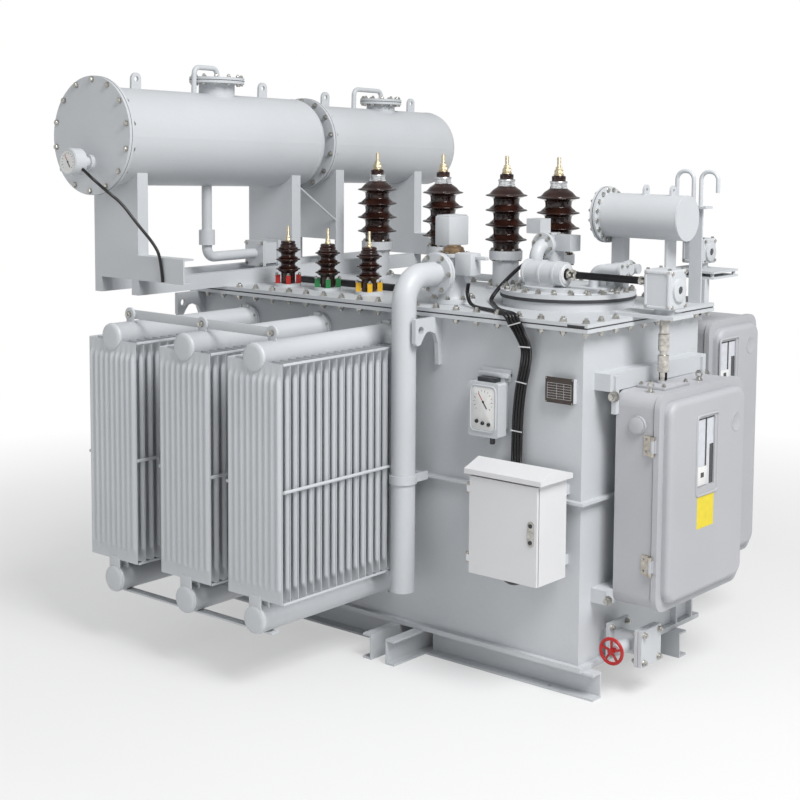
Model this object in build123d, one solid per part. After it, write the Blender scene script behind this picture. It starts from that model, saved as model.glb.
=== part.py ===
"""Oil-filled power transformer on skids, built as separate named pieces.

Lengths are in millimetres. +Z is up, +X points to the tap-changer end of the tank
and -Y to its front. The origin lies on the ground under the centre of the tank.
"""

import math
import os

from build123d import *

# Tank
TANK_L = 2200
TANK_W = 900
TANK_WALL_H = 1355
WALL_T = 8
BASE_T = 20
BASE_OUT = 25
RIM_OUT = 50
RIM_T = 15
GASKET_T = 6
COVER_T = 15
BAND_UP = 660
BAND_T = 12
BAND_OUT = 28

# Skids and cross beams
SKID_H = 110
SKID_FLANGE = 60
SKID_WEB = 8
SKID_FT = 9
SKID_OVER = 75
SKID_IN = 5
REAR_SKID_WEB = 672
CROSS_AT = 225
CROSS_GAP = 80
CROSS_FLANGE = 48
CROSS_OUT = 215
INNER_CROSS_STEP = 700
ANCHOR_R = 9
ANCHOR_END = 150
ANCHOR_EDGE = 26
JACK_H = 150
JACK_T = 12

LEFT = -TANK_L / 2
RIGHT = TANK_L / 2
FRONT = -TANK_W / 2
BACK = TANK_W / 2
WALL_Z0 = SKID_H + BASE_T
WALL_Z1 = WALL_Z0 + TANK_WALL_H
GASKET_Z = WALL_Z1 + RIM_T
COVER_Z = GASKET_Z + GASKET_T
TOP = COVER_Z + COVER_T
BAND_Z = WALL_Z0 + BAND_UP

# Lifting
HOOK_REACH = 176
HOOK_H = 205
HOOK_TIP = 112
HOOK_ARCH = 56
HOOK_T = 20
HOOK_EYE_R = 17
HOOK_X = (15, 1477)
LUG_W = 60
LUG_H = 64
LUG_T = 14
LUG_HOLE_R = 15

# Radiators
RAD_PITCH = (323, 782, 1192)
PANEL_W = 306
PANEL_T = 11
PANEL_N = 17
PANEL_PITCH = 45
PANEL_Y0 = 84
HEADER_R = 57
HEADER_L = 830
HEADER_LOW = 176
HEADER_DROP = 113
HEADER_FLANGE = 22
HEADER_FLANGE_T = 14
PANEL_GAP = 32
COLLECTOR_W = 60

# Bushings
HV_X = (442, 862, 1242, 1535)
HV_IN = 120
HV_TURRET_H = 180
HV_TURRET_R = 62
HV_BODY_H = 358
HV_SHEDS = 4
HV_PITCH = 69
HV_FIRST = 49
HV_CORE_R = 56
HV_SHED_R = 95
HV_NECK_R = 32
HV_CAP_R = 40
HV_CAP_H = 34
HV_CAP_DROP = 25
HV_ROD_R = 9
LV_X = (420, 675, 930)
LV_IN = 165
LV_BODY_H = 200
LV_FOOT_H = 14
LV_FOOT_R = 62
LV_SHEDS = 3
LV_PITCH = 45
LV_FIRST = 66
LV_CORE_R = 33
LV_SHED_R = 58
LV_NECK_R = 24
LV_ROD_R = 7
CLAMP_RING_R = 50
CLAMP_W = 22
CLAMP_H = 40

# Conservators
CONS_IN = 73
CONS_UP = 709
CONS_OUT = 716
CONS_TILT = 2
CONS_R = 218
CONS_FLANGE_R = 262
CONS_L = 1300
CONS_GAP = 30
CONS_WALL = 6
CONS_END_T = 14
REAR_R = 196
REAR_FLANGE_R = 228
REAR_L = 1030
MANHOLE_R = 130
MANHOLE_NECK_R = 85
MANHOLE_UP = 64
MANHOLE_AT = 745
REAR_MANHOLE_R = 110
REAR_MANHOLE_NECK_R = 75
REAR_MANHOLE_UP = 42
REAR_MANHOLE_AT = 606
LID_T = 14
VENT_R = 12
VENT_AHEAD = 145
REAR_VENT_AHEAD = 215
VENT_UP = 42
VENT_BEND = 30
EYES_AT = (247, 1048)
REAR_EYES_AT = (170, 854)
EYE_W = 56
EYE_H = 72
EYE_T = 12
EYE_HOLE_R = 12
SUPPORT_AT = (133, 1110, 1428, 2048)
SUPPORT_W = 300
SUPPORT_FLANGE = 60
SUPPORT_T = 8
BEAM_H = 110
BEAM_W = 46
BEAM_UP = 69
BEAM_X = (-127, 127)
CHANNEL_TAIL = 296
BRACE_R = 5
BRACE_UP = 80
BRACE_RISE = 210

# Tap changer
TAP_IN = 395
TAP_Y = 20
TAP_R = 292
SEAT_H = 40
TAP_GASKET_T = 8
TAP_FLANGE_H = 20
DOME_IN = 90
DOME_H = 16
SHAFT_Y = -92
SHAFT_UP = 141
SHAFT_R = 12
RUN_FIT = 0.1
SEAT_IN = 10
BORE_DEEP = 12
JOINT_R = 24
CASE_R = 50
CASE_BACK = 135
CASE_FRONT = 30
GEAR_OUT = 150
GEAR_S = 125
GEAR_H = 160
GEAR_NECK_R = 42
GEAR_NECK_H = 22
BRACKET_T = 14
SHAFT_HOLE_R = 30
SMALL_Y = 200
SMALL_UP = 383
SMALL_R = 96
SMALL_FLANGE_R = 122
SMALL_L = 410
SMALL_BACK = 330
POST_W = 80
VENT_POST = 230

# Motor cabinets
CAB_OUT = 75
CAB_D = 173
CAB_W = 665
CAB_H = 867
CAB_IN = 129
CAB_UP = 243
DOOR_T = 60
DOOR_LIP = 6
DOOR_RIM = 24
DOOR_GAP = 5
CAB_WALL = 6
CAB_ROUND = 55
STUB_H = 90
CHANNEL_OVER = 47
CHANNEL_T = 8
HIGH_CHANNEL = (2, 71)
LOW_CHANNEL = (2, 60)
LUG_OUT = 24
LUG_DROP = 90
SIDE_BOSS = (103, 124, 38, 12)
SLOT_DEEP = 6
SLOT_Y = (239, 374)
SLOT_Z = (118, 400)
FAR_SLOT_Y = (41, 177)
FAR_SLOT_Z = (86, 269)
BOSS_H = 20
BOSS_R = 24
FAR_D = 180
FAR_W = 430
FAR_H = 1095
FAR_IN = 210
FAR_OFF = 110
FAR_UP = 195
FAR_GEAR_IN = 100
FAR_GEAR_OFF = 170
FAR_GEAR_S = 110
FAR_PLATE_UP = 104
FAR_PLATE_STEP = 24
FAR_PLATE_T = 9

# Hinges
HINGE_H = 40
KNUCKLE_R = 9
PIN_R = 5
HINGE_AT = (0.215, 0.77)
BOX_HINGE_AT = (0.15, 0.85)
LEAF_T = 6
LEAF_L = 40
SMALL_HINGE_H = 22
SMALL_KNUCKLE_R = 8
SMALL_PIN_R = 4
HINGE_SIDE = 16
SMALL_HINGE_SIDE = 13

# Pressure relief
PRD_AT = 1404
PRD_IN = 180
PRD_R = 78
PRD_H = 215
PIPE_OUT = 152
PIPE_R = 52
PIPE_UP = 134
PIPE_END = 315
PIPE_BEND = 110
ARM_FLANGE_R = 85
ARM_L = 120
CAP_R = 48
CAP_H = 34
CLAMP_UP = 670

# Instruments
THERMO_IN = 500
THERMO_W = 150
THERMO_H = 225
THERMO_D = 58
THERMO_DROP = 465
PLATE_IN = 159
PLATE_W = 134
PLATE_H = 104
PLATE_OUT = 28
PLATE_T = 3
PLATE_DROP = 294
BOX_IN = 365
BOX_W = 330
BOX_OUT = 50
BOX_D = 185
BOX_H = 405
BOX_UP = 370
BOX_WALL = 3
ROOF_EAVE = 22
ROOF_H = 55
BOX_DOOR_T = 12

# Drain valve
VALVE_IN = 215
VALVE_UP = 70
VALVE_FACE = 150
VALVE_PIPE_R = 40
VALVE_BODY_R = 46
WHEEL_OUT = 115
WHEEL_AHEAD = 150
WHEEL_R = 50
WHEEL_RIM_R = 7
WHEEL_STEM_R = 8

RAD_X = tuple(LEFT + x for x in RAD_PITCH)
HEADER_Z0 = WALL_Z0 + HEADER_LOW
HEADER_Z1 = WALL_Z1 - HEADER_DROP
PANEL_Z0 = HEADER_Z0 + HEADER_R + PANEL_GAP
PANEL_Z1 = HEADER_Z1 - 14
HV_Y = BACK - HV_IN
LV_Y = FRONT + LV_IN
CONS_X = LEFT + CONS_IN
CONS_Y0 = FRONT - CONS_OUT
CONS_Z = TOP + CONS_UP
REAR_Y0 = CONS_L + CONS_GAP
TAP_X = RIGHT - TAP_IN
LID_Z = TOP + SEAT_H + TAP_GASKET_T
SHAFT_Z = TOP + SHAFT_UP
GEAR_X = RIGHT + GEAR_OUT
SMALL_Z = TOP + SMALL_UP
CAB_X0 = RIGHT + CAB_OUT
CAB_X1 = CAB_X0 + CAB_D
CAB_Y0 = FRONT + CAB_IN
CAB_Y1 = CAB_Y0 + CAB_W
CAB_Z0 = WALL_Z0 + CAB_UP
CAB_Z1 = CAB_Z0 + CAB_H
FAR_X0 = RIGHT - FAR_IN
FAR_X1 = FAR_X0 + FAR_D
FAR_Y0 = BACK + FAR_OFF
FAR_Y1 = FAR_Y0 + FAR_W
FAR_Z0 = WALL_Z0 + FAR_UP
FAR_Z1 = FAR_Z0 + FAR_H
FAR_GEAR_X = RIGHT - FAR_GEAR_IN
FAR_GEAR_Y = BACK + FAR_GEAR_OFF
FAR_PLATE_Z = TOP + FAR_PLATE_UP
FAR_GEAR_Z = FAR_PLATE_Z + FAR_PLATE_STEP + FAR_PLATE_T
PRD_X = LEFT + PRD_AT
PRD_Y = FRONT + PRD_IN
PIPE_Y = FRONT - PIPE_OUT
PIPE_Z = TOP + PIPE_UP
BOX_X0 = RIGHT - BOX_IN
BOX_X1 = BOX_X0 + BOX_W
BOX_Y1 = FRONT - BOX_OUT
BOX_Y0 = BOX_Y1 - BOX_D
BOX_Z0 = WALL_Z0 + BOX_UP
BOX_Z1 = BOX_Z0 + BOX_H
VALVE_Y = FRONT + VALVE_IN
VALVE_Z = WALL_Z0 + VALVE_UP
WHEEL_X = RIGHT + WHEEL_OUT
WHEEL_Y = VALVE_Y - WHEEL_AHEAD


def block(x0, x1, y0, y1, z0, z1):
    """A box between two opposite corners."""
    centre = ((x0 + x1) / 2, (y0 + y1) / 2, (z0 + z1) / 2)
    return Pos(*centre) * Box(x1 - x0, y1 - y0, z1 - z0)


def round_z(x, y, z0, z1, r):
    """An upright cylinder."""
    return Pos(x, y, (z0 + z1) / 2) * Cylinder(r, z1 - z0)


def round_x(x0, x1, y, z, r):
    """A cylinder along X."""
    return Pos((x0 + x1) / 2, y, z) * Rot(0, 90, 0) * Cylinder(r, x1 - x0)


def round_y(x, y0, y1, z, r):
    """A cylinder along Y."""
    return Pos(x, (y0 + y1) / 2, z) * Rot(90, 0, 0) * Cylinder(r, y1 - y0)


def profile_x(x0, x1, points):
    """A prism along X from a closed outline of (y, z) points."""
    face = make_face(Polyline(*[(0, y, z) for y, z in points], close=True))
    return Pos(x0, 0, 0) * extrude(face, amount=x1 - x0, dir=(1, 0, 0))


def lathe(x, y, z, points):
    """A turned solid about a vertical axis from a closed (r, height) outline."""
    face = make_face(Polyline(*[(r, 0, h) for r, h in points], close=True))
    return Pos(x, y, z) * revolve(face, Axis.Z)


def pipe(points, r, bend):
    """A round bar that follows a filleted path."""
    path = FilletPolyline(*points, radius=bend)
    start = Plane(origin=path @ 0, z_dir=path % 0)
    return sweep(start * Circle(r), path=path)


def bar(start, end, r):
    """A round bar between two points."""
    line = Line(start, end)
    return sweep(Plane(origin=start, z_dir=line % 0) * Circle(r), path=line)


def join(parts):
    """One shape out of many that meet."""
    whole = parts[0]
    for part in parts[1:]:
        whole = whole + part
    return whole


def group(parts):
    """Several solids that don't touch, as one piece of the model."""
    return Compound(children=parts)


def both_sides(part):
    """The part and its mirror image across the XZ plane."""
    return group([part, mirror(part, Plane.XZ)])


def eye_plate(width, height, thick, hole):
    """A round-topped lifting plate that stands on z = 0 and faces along X."""
    top = height - width / 2
    plate = block(-thick / 2, thick / 2, -width / 2, width / 2, 0, top)
    plate = plate + round_x(-thick / 2, thick / 2, 0, top, width / 2)
    return plate - round_x(-thick, thick, 0, top, hole)


# Base


def channel_x(x0, x1, y_web, side):
    """A channel section along X whose flanges point to the given side."""
    web = sorted((y_web, y_web + side * SKID_WEB))
    tip = sorted((y_web, y_web + side * SKID_FLANGE))
    return join([
        block(x0, x1, web[0], web[1], 0, SKID_H),
        block(x0, x1, tip[0], tip[1], 0, SKID_FT),
        block(x0, x1, tip[0], tip[1], SKID_H - SKID_FT, SKID_H),
    ])


def channel_y(y0, y1, x_web, side):
    """A channel section along Y whose flanges point to the given side."""
    web = sorted((x_web, x_web + side * SKID_WEB))
    tip = sorted((x_web, x_web + side * CROSS_FLANGE))
    return join([
        block(web[0], web[1], y0, y1, 0, SKID_H),
        block(tip[0], tip[1], y0, y1, 0, SKID_FT),
        block(tip[0], tip[1], y0, y1, SKID_H - SKID_FT, SKID_H),
    ])


FRONT_WEB_Y = FRONT - SKID_IN + SKID_FLANGE
REAR_WEB_Y = FRONT + REAR_SKID_WEB
CROSS_HALF = CROSS_GAP / 2 + CROSS_FLANGE
FRONT_ANCHOR_Y = FRONT_WEB_Y - SKID_FLANGE + ANCHOR_EDGE
REAR_ANCHOR_Y = REAR_WEB_Y + SKID_FLANGE - ANCHOR_EDGE


def skids():
    """Front and rear channels, cut away where the cross beams pass."""
    channels = []
    for web_y, anchor_y, side in (
        (FRONT_WEB_Y, FRONT_ANCHOR_Y, -1),
        (REAR_WEB_Y, REAR_ANCHOR_Y, 1),
    ):
        skid = channel_x(LEFT - SKID_OVER, RIGHT + SKID_OVER, web_y, side)
        tip_y = web_y + side * SKID_FLANGE
        gap_y = sorted((web_y, tip_y))
        skid = skid - block(
            CROSS_AT - CROSS_HALF, CROSS_AT + CROSS_HALF, gap_y[0], gap_y[1], 0, SKID_H)
        for x in (LEFT + ANCHOR_END, RIGHT - ANCHOR_END):
            skid = skid - round_z(x, anchor_y, -1, SKID_FT + 1, ANCHOR_R)
        channels.append(skid)
    return group(channels)


def cross_beams():
    """Two channels back to back under the tank and inner channels between the skids."""
    reach = BACK + CROSS_OUT
    beams = [
        channel_y(-reach, reach, CROSS_AT - CROSS_GAP / 2, -1),
        channel_y(-reach, reach, CROSS_AT + CROSS_GAP / 2, 1),
    ]
    for step in (-1, 0, 1):
        x = step * INNER_CROSS_STEP - CROSS_FLANGE / 2
        beams.append(channel_y(FRONT_WEB_Y, REAR_WEB_Y, x, 1))
    return group(beams)


def base_plate():
    """The bottom plate with jacking gussets on its right edge."""
    out = BASE_OUT
    plate = block(LEFT - out, RIGHT + out, FRONT - out, BACK + out, SKID_H, WALL_Z0)
    for y in (BACK - 45, BACK - 175):
        plate = plate + block(RIGHT, RIGHT + out, y, y + JACK_T, SKID_H, WALL_Z0 + JACK_H)
    return plate


# Tank


def ring(out, z0, z1, inner):
    """A rectangular collar around the tank."""
    outer = block(LEFT - out, RIGHT + out, FRONT - out, BACK + out, z0, z1)
    hole = block(LEFT + inner, RIGHT - inner, FRONT + inner, BACK - inner, z0 - 1, z1 + 1)
    return outer - hole


def tank_wall():
    return ring(0, WALL_Z0, WALL_Z1, WALL_T)


def stiffener_band():
    return ring(BAND_OUT, BAND_Z, BAND_Z + BAND_T, 0)


def tank_rim():
    return ring(RIM_OUT, WALL_Z1, GASKET_Z, WALL_T)


def gaskets():
    """Rubber under the tank cover and under the tap-changer head."""
    under_cover = ring(RIM_OUT - 3, GASKET_Z, COVER_Z, WALL_T)
    seat_z = TOP + SEAT_H
    under_head = round_z(TAP_X, TAP_Y, seat_z, LID_Z, TAP_R - 4)
    return group([under_cover, under_head])


def tank_cover():
    out = RIM_OUT
    return block(LEFT - out, RIGHT + out, FRONT - out, BACK + out, COVER_Z, TOP)


def lifting_hooks():
    """Four plates with an eye at the outer corner and an arch beside the wall."""
    tip = FRONT - HOOK_REACH
    z = WALL_Z1
    plates = []
    for at in HOOK_X:
        x = LEFT + at
        outline = [
            (FRONT, z), (tip, z), (tip, z - HOOK_TIP + 12), (tip + 14, z - HOOK_TIP),
            (tip + 34, z - HOOK_TIP + 4), (tip + 52, z - HOOK_ARCH - 26), (tip + 70, z - HOOK_ARCH - 6),
            (tip + 96, z - HOOK_ARCH), (FRONT - 46, z - HOOK_ARCH - 14), (FRONT - 28, z - HOOK_TIP),
            (FRONT - 22, z - HOOK_H), (FRONT, z - HOOK_H),
        ]
        plate = profile_x(x - HOOK_T / 2, x + HOOK_T / 2, outline)
        eye = round_x(x - HOOK_T, x + HOOK_T, tip + 36, z - 48, HOOK_EYE_R)
        plates.append(both_sides(plate - eye))
    return group(plates)


def cover_lugs():
    """Lifting plates that stand on the cover beside the conservator beams."""
    lugs = []
    for x, y in ((LEFT + 52, FRONT + 335), (LEFT + 6, FRONT + 788)):
        lugs.append(Pos(x, y, TOP) * Rot(0, 0, 90) * eye_plate(LUG_W, LUG_H, LUG_T, LUG_HOLE_R))
    return group(lugs)


# Radiators


def radiator(x):
    """A header pair with a bank of flat panels, for the front of the tank."""
    parts = []
    for z in (HEADER_Z0, HEADER_Z1):
        parts.append(round_y(x, FRONT - HEADER_L, FRONT, z, HEADER_R))
        parts.append(round_y(x, FRONT - HEADER_FLANGE_T, FRONT, z, HEADER_R + HEADER_FLANGE))
    half = PANEL_W / 2
    neck = COLLECTOR_W / 2
    for i in range(PANEL_N):
        y = FRONT - PANEL_Y0 - i * PANEL_PITCH
        parts.append(block(x - half, x + half, y - PANEL_T, y, PANEL_Z0, PANEL_Z1))
        parts.append(block(x - neck, x + neck, y - PANEL_T, y, HEADER_Z0, PANEL_Z0))
    return join(parts)


def radiators_front():
    return group([radiator(x) for x in RAD_X])


def radiators_back():
    return group([mirror(radiator(x), Plane.XZ) for x in RAD_X])


def tie_bars():
    """Flat bars and a rod that tie the radiators of one side together."""
    y = FRONT - HEADER_L + 60
    high = HEADER_Z1 + HEADER_R
    low = HEADER_Z0 - HEADER_R
    x0 = RAD_X[0] - COLLECTOR_W
    x1 = RAD_X[2] + COLLECTOR_W
    over = block(x0, x1, y, y + 40, high, high + 8)
    under = block(x0, x1, y, y + 40, low - 8, low)
    outer_y = FRONT - PANEL_Y0 - (PANEL_N - 1) * PANEL_PITCH - PANEL_T
    middle = (PANEL_Z0 + PANEL_Z1) / 2
    half = PANEL_W / 2
    rod = round_x(RAD_X[0] - half, RAD_X[2] + half, outer_y - 7, middle, 7)
    return group([both_sides(over), both_sides(under), both_sides(rod)])


# Bushings


def bushing_turrets():
    """Necks under the tall bushings and foot rings under the short ones."""
    turrets = []
    for at in HV_X:
        x = LEFT + at
        neck = round_z(x, HV_Y, TOP, TOP + HV_TURRET_H, HV_TURRET_R)
        foot = round_z(x, HV_Y, TOP, TOP + 14, HV_TURRET_R + 26)
        head = round_z(x, HV_Y, TOP + HV_TURRET_H - 40, TOP + HV_TURRET_H, HV_TURRET_R + 16)
        turrets.append(join([neck, foot, head]))
    for at in LV_X:
        turrets.append(round_z(LEFT + at, LV_Y, TOP, TOP + LV_FOOT_H, LV_FOOT_R))
    return group(turrets)


def insulator(x, y, z, sheds, pitch, core, rim, first, neck, height):
    """A porcelain body with sloping sheds, the top one rising to the neck."""
    points = [(0, 0), (core, 0)]
    for i in range(sheds):
        base = first + i * pitch
        points += [(core, base - 6), (rim, base), (rim, base + 6)]
        if i < sheds - 1:
            points += [(core * 1.04, base + pitch * 0.38), (core, base + pitch * 0.4)]
    last = first + (sheds - 1) * pitch
    points += [(neck * 1.15, last + pitch * 0.46), (neck, last + pitch * 0.5)]
    points += [(neck, height), (0, height)]
    return lathe(x, y, z, points)


def hv_insulators():
    z = TOP + HV_TURRET_H
    bodies = []
    for at in HV_X:
        bodies.append(insulator(
            LEFT + at, HV_Y, z, HV_SHEDS, HV_PITCH, HV_CORE_R, HV_SHED_R, HV_FIRST,
            HV_NECK_R, HV_BODY_H))
    return group(bodies)


def lv_insulators():
    z = TOP + LV_FOOT_H
    bodies = []
    for at in LV_X:
        body = insulator(
            LEFT + at, LV_Y, z, LV_SHEDS, LV_PITCH, LV_CORE_R, LV_SHED_R, LV_FIRST,
            LV_NECK_R, LV_BODY_H)
        collar = round_z(LEFT + at, LV_Y, z + LV_BODY_H - 14, z + LV_BODY_H, LV_NECK_R + 10)
        bodies.append(body + collar)
    return group(bodies)


HV_TOP = TOP + HV_TURRET_H + HV_BODY_H


def hv_caps():
    """Metal collars around the tops of the tall bushings."""
    caps = []
    z1 = HV_TOP - HV_CAP_DROP
    for at in HV_X:
        x = LEFT + at
        cap = round_z(x, HV_Y, z1 - HV_CAP_H, z1, HV_CAP_R)
        caps.append(cap - round_z(x, HV_Y, z1 - 2 * HV_CAP_H, HV_TOP, HV_NECK_R))
    return group(caps)


def terminals():
    """Threaded rods with their nuts on every bushing."""
    parts = []
    for at in HV_X:
        x = LEFT + at
        rod = round_z(x, HV_Y, HV_TOP, HV_TOP + 84, HV_ROD_R)
        nut = round_z(x, HV_Y, HV_TOP, HV_TOP + 26, HV_ROD_R + 15)
        neck = round_z(x, HV_Y, HV_TOP, HV_TOP + 40, HV_ROD_R + 8)
        parts.append(join([rod, nut, neck]))
    z = TOP + LV_FOOT_H + LV_BODY_H
    for at in LV_X:
        x = LEFT + at
        parts.append(round_z(x, LV_Y, z, z + 71, LV_ROD_R) + round_z(x, LV_Y, z, z + 20, 13))
    return group(parts)


def clamps(at):
    """Four coloured feet that hold down one short bushing."""
    feet = []
    for turn in (45, 135, 225, 315):
        place = Pos(LEFT + at, LV_Y, TOP + LV_FOOT_H) * Rot(0, 0, turn)
        inner = math.hypot(LV_CORE_R, CLAMP_W / 2) + 2
        foot = block(inner, CLAMP_RING_R + 10, -CLAMP_W / 2, CLAMP_W / 2, 0, CLAMP_H)
        feet.append(place * foot)
    return group(feet)


# Conservators

TILTED = Pos(CONS_X, CONS_Y0, CONS_Z) * Rot(-CONS_TILT, 0, 0)


def vessel(y0, length, r, flange_r, end_t):
    """A hollow drum along Y, open at its front flange and rounded at its back."""
    body = round_y(0, y0, y0 + length, 0, r)
    back_edge = body.edges().filter_by(GeomType.CIRCLE).sort_by(Axis.Y)[-1]
    body = fillet(back_edge, r / 5)
    flange = round_y(0, y0, y0 + end_t, 0, flange_r)
    hollow = round_y(0, y0 - 1, y0 + length - CONS_WALL * 2, 0, r - CONS_WALL)
    hollow_edge = hollow.edges().filter_by(GeomType.CIRCLE).sort_by(Axis.Y)[-1]
    hollow = fillet(hollow_edge, r / 5)
    return body + flange - hollow


def manhole_neck(y, r, neck_r, up, rim_r):
    """The stub on a drum that carries a bolted lid."""
    neck = round_z(0, y, 0, r + up, neck_r) + round_z(0, y, r + up - LID_T, r + up, rim_r)
    return neck - round_y(0, y - 2 * rim_r, y + 2 * rim_r, 0, r - CONS_WALL / 2)


def drum_eyes(places, r):
    eyes = []
    for y in places:
        plate = Pos(0, y, r - 8) * eye_plate(EYE_W, EYE_H + 8, EYE_T, EYE_HOLE_R)
        eyes.append(plate)
    return eyes


def conservators():
    """The main oil vessel, the smaller one behind it and the tap changer's own."""
    main = vessel(CONS_END_T, CONS_L - CONS_END_T, CONS_R, CONS_FLANGE_R, CONS_END_T)
    main = main + manhole_neck(MANHOLE_AT, CONS_R, MANHOLE_NECK_R, MANHOLE_UP, MANHOLE_R)
    main = join([main] + drum_eyes(EYES_AT, CONS_R))
    start = REAR_Y0 + CONS_END_T
    rear = vessel(start, REAR_L - CONS_END_T, REAR_R, REAR_FLANGE_R, CONS_END_T)
    rear = rear + manhole_neck(
        REAR_Y0 + REAR_MANHOLE_AT, REAR_R, REAR_MANHOLE_NECK_R, REAR_MANHOLE_UP, REAR_MANHOLE_R)
    rear = join([rear] + drum_eyes([REAR_Y0 + at for at in REAR_EYES_AT], REAR_R))
    x0 = RIGHT - SMALL_BACK
    small = round_x(x0, x0 + SMALL_L, SMALL_Y, SMALL_Z, SMALL_R)
    small = small + round_x(x0, x0 + 26, SMALL_Y, SMALL_Z, SMALL_FLANGE_R)
    for x in (x0 + SMALL_L * 0.5, x0 + SMALL_L * 0.82):
        small = small + Pos(x, SMALL_Y, SMALL_Z + SMALL_R - 4) * eye_plate(44, 44, 10, 8)
    return group([TILTED * main, TILTED * rear, small])


def conservator_ends():
    main = round_y(0, 0, CONS_END_T, 0, CONS_FLANGE_R)
    rear = round_y(0, REAR_Y0, REAR_Y0 + CONS_END_T, 0, REAR_FLANGE_R)
    return group([TILTED * main, TILTED * rear])


def lid_with_vent(y, r, up, lid_r, ahead):
    """A bolted lid with a vent pipe that loops over to the drum in front of it."""
    z = r + up
    lid = round_z(0, y, z, z + LID_T, lid_r)
    high = z + LID_T + VENT_UP
    loop = pipe([
        (0, y, z + LID_T / 2), (0, y, high), (0, y - ahead, high), (0, y - ahead, r - 1),
    ], VENT_R, VENT_BEND)
    drum = round_y(0, y - 2 * ahead, y + lid_r, 0, r)
    return lid + loop - drum


def manhole_covers():
    main = lid_with_vent(MANHOLE_AT, CONS_R, MANHOLE_UP, MANHOLE_R, VENT_AHEAD)
    rear_y = REAR_Y0 + REAR_MANHOLE_AT
    rear = lid_with_vent(rear_y, REAR_R, REAR_MANHOLE_UP, REAR_MANHOLE_R, REAR_VENT_AHEAD)
    return group([TILTED * main, TILTED * rear])


BEAM_Z0 = TOP + BEAM_UP
BEAM_Z1 = BEAM_Z0 + BEAM_H


def conservator_supports():
    """Upright channels under the drums, the middle two on legs, and their brace."""
    drums = TILTED * round_y(0, 0, REAR_Y0, 0, CONS_R)
    rear = TILTED * round_y(0, REAR_Y0 - CONS_GAP, REAR_Y0 + REAR_L, 0, REAR_R)
    half = SUPPORT_W / 2
    uprights = []
    for i, at in enumerate(SUPPORT_AT):
        y = CONS_Y0 + at
        top = CONS_Z - CONS_R / 2 - at * math.tan(math.radians(CONS_TILT))
        low = BEAM_Z0 if i in (1, 2) else BEAM_Z1
        parts = [block(CONS_X - half, CONS_X + half, y, y + SUPPORT_T, BEAM_Z1, top)]
        for side in (-1, 1):
            edge = sorted((CONS_X + side * half, CONS_X + side * (half - SUPPORT_T)))
            parts.append(block(edge[0], edge[1], y, y + SUPPORT_FLANGE, low, top))
        uprights.append(join(parts) - (drums if i < 2 else rear))
    x = CONS_X + half - SUPPORT_T / 2
    y0 = CONS_Y0 + SUPPORT_AT[1] + SUPPORT_FLANGE / 2
    y1 = CONS_Y0 + SUPPORT_AT[2] + SUPPORT_FLANGE / 2
    brace = bar((x, y0, BEAM_Z1 + BRACE_UP + BRACE_RISE), (x, y1, BEAM_Z1 + BRACE_UP), BRACE_R)
    return group([join([uprights[1], uprights[2], brace]), uprights[0], uprights[3]])


def conservator_frame():
    """Two long beams on the cover with a cross channel on each of their ends."""
    y0 = CONS_Y0 + SUPPORT_AT[0]
    y1 = CONS_Y0 + SUPPORT_AT[-1] + SUPPORT_FLANGE
    parts = []
    for off in BEAM_X:
        x = CONS_X + off
        parts.append(block(x - BEAM_W / 2, x + BEAM_W / 2, y0, y1, TOP, BEAM_Z0))
    half = SUPPORT_W / 2
    x0 = CONS_X - half
    x1 = CONS_X + half + CHANNEL_TAIL
    for at in (SUPPORT_AT[0], SUPPORT_AT[-1]):
        y = CONS_Y0 + at
        parts.append(block(x0, x1, y, y + SUPPORT_T, BEAM_Z0, BEAM_Z1))
        for z in (BEAM_Z0, BEAM_Z1 - SUPPORT_T):
            parts.append(block(x0, x1, y, y + SUPPORT_FLANGE, z, z + SUPPORT_T))
    return join(parts)


OIL_PIPE_R = 24
OIL_DROP_Y = FRONT - 50
OIL_FOOT_Y = FRONT + 447
OIL_RUN_UP = 130
RELAY_W = 100
RELAY_L = 95
RELAY_PLATE = 124
RELAY_PLATE_T = 10


def oil_pipework():
    """The conservator's oil pipe with its relay and the elbow down to the cover."""
    x = CONS_X + 20
    z = TOP + OIL_RUN_UP
    drum_z = CONS_Z - (OIL_DROP_Y - CONS_Y0) * math.tan(math.radians(CONS_TILT))
    line = pipe([
        (x, OIL_DROP_Y, drum_z), (x, OIL_DROP_Y, z), (x, OIL_FOOT_Y, z), (x, OIL_FOOT_Y, TOP),
    ], OIL_PIPE_R, 45)
    y1 = OIL_FOOT_Y - 80
    y0 = y1 - RELAY_L
    half = RELAY_W / 2
    parts = [line, block(x - half, x + half, y0, y1, z - half, z + half)]
    plate = RELAY_PLATE / 2
    for y in (y0 - RELAY_PLATE_T, y0, y1, y1 + RELAY_PLATE_T):
        parts.append(block(x - plate, x + plate, y, y + RELAY_PLATE_T - 1, z - plate, z + plate))
    for y in (y0 - RELAY_PLATE_T, y1):
        parts.append(block(x - half, x + half, y, y + RELAY_PLATE_T, z - half, z + half))
    parts.append(round_z(x, OIL_FOOT_Y, TOP, TOP + 12, 48))
    valve = round_z(x, OIL_DROP_Y, z + 60, z + 130, OIL_PIPE_R + 14)
    parts.append(valve)
    drum = TILTED * round_y(0, 0, CONS_L, 0, CONS_R)
    return join(parts) - drum


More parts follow.
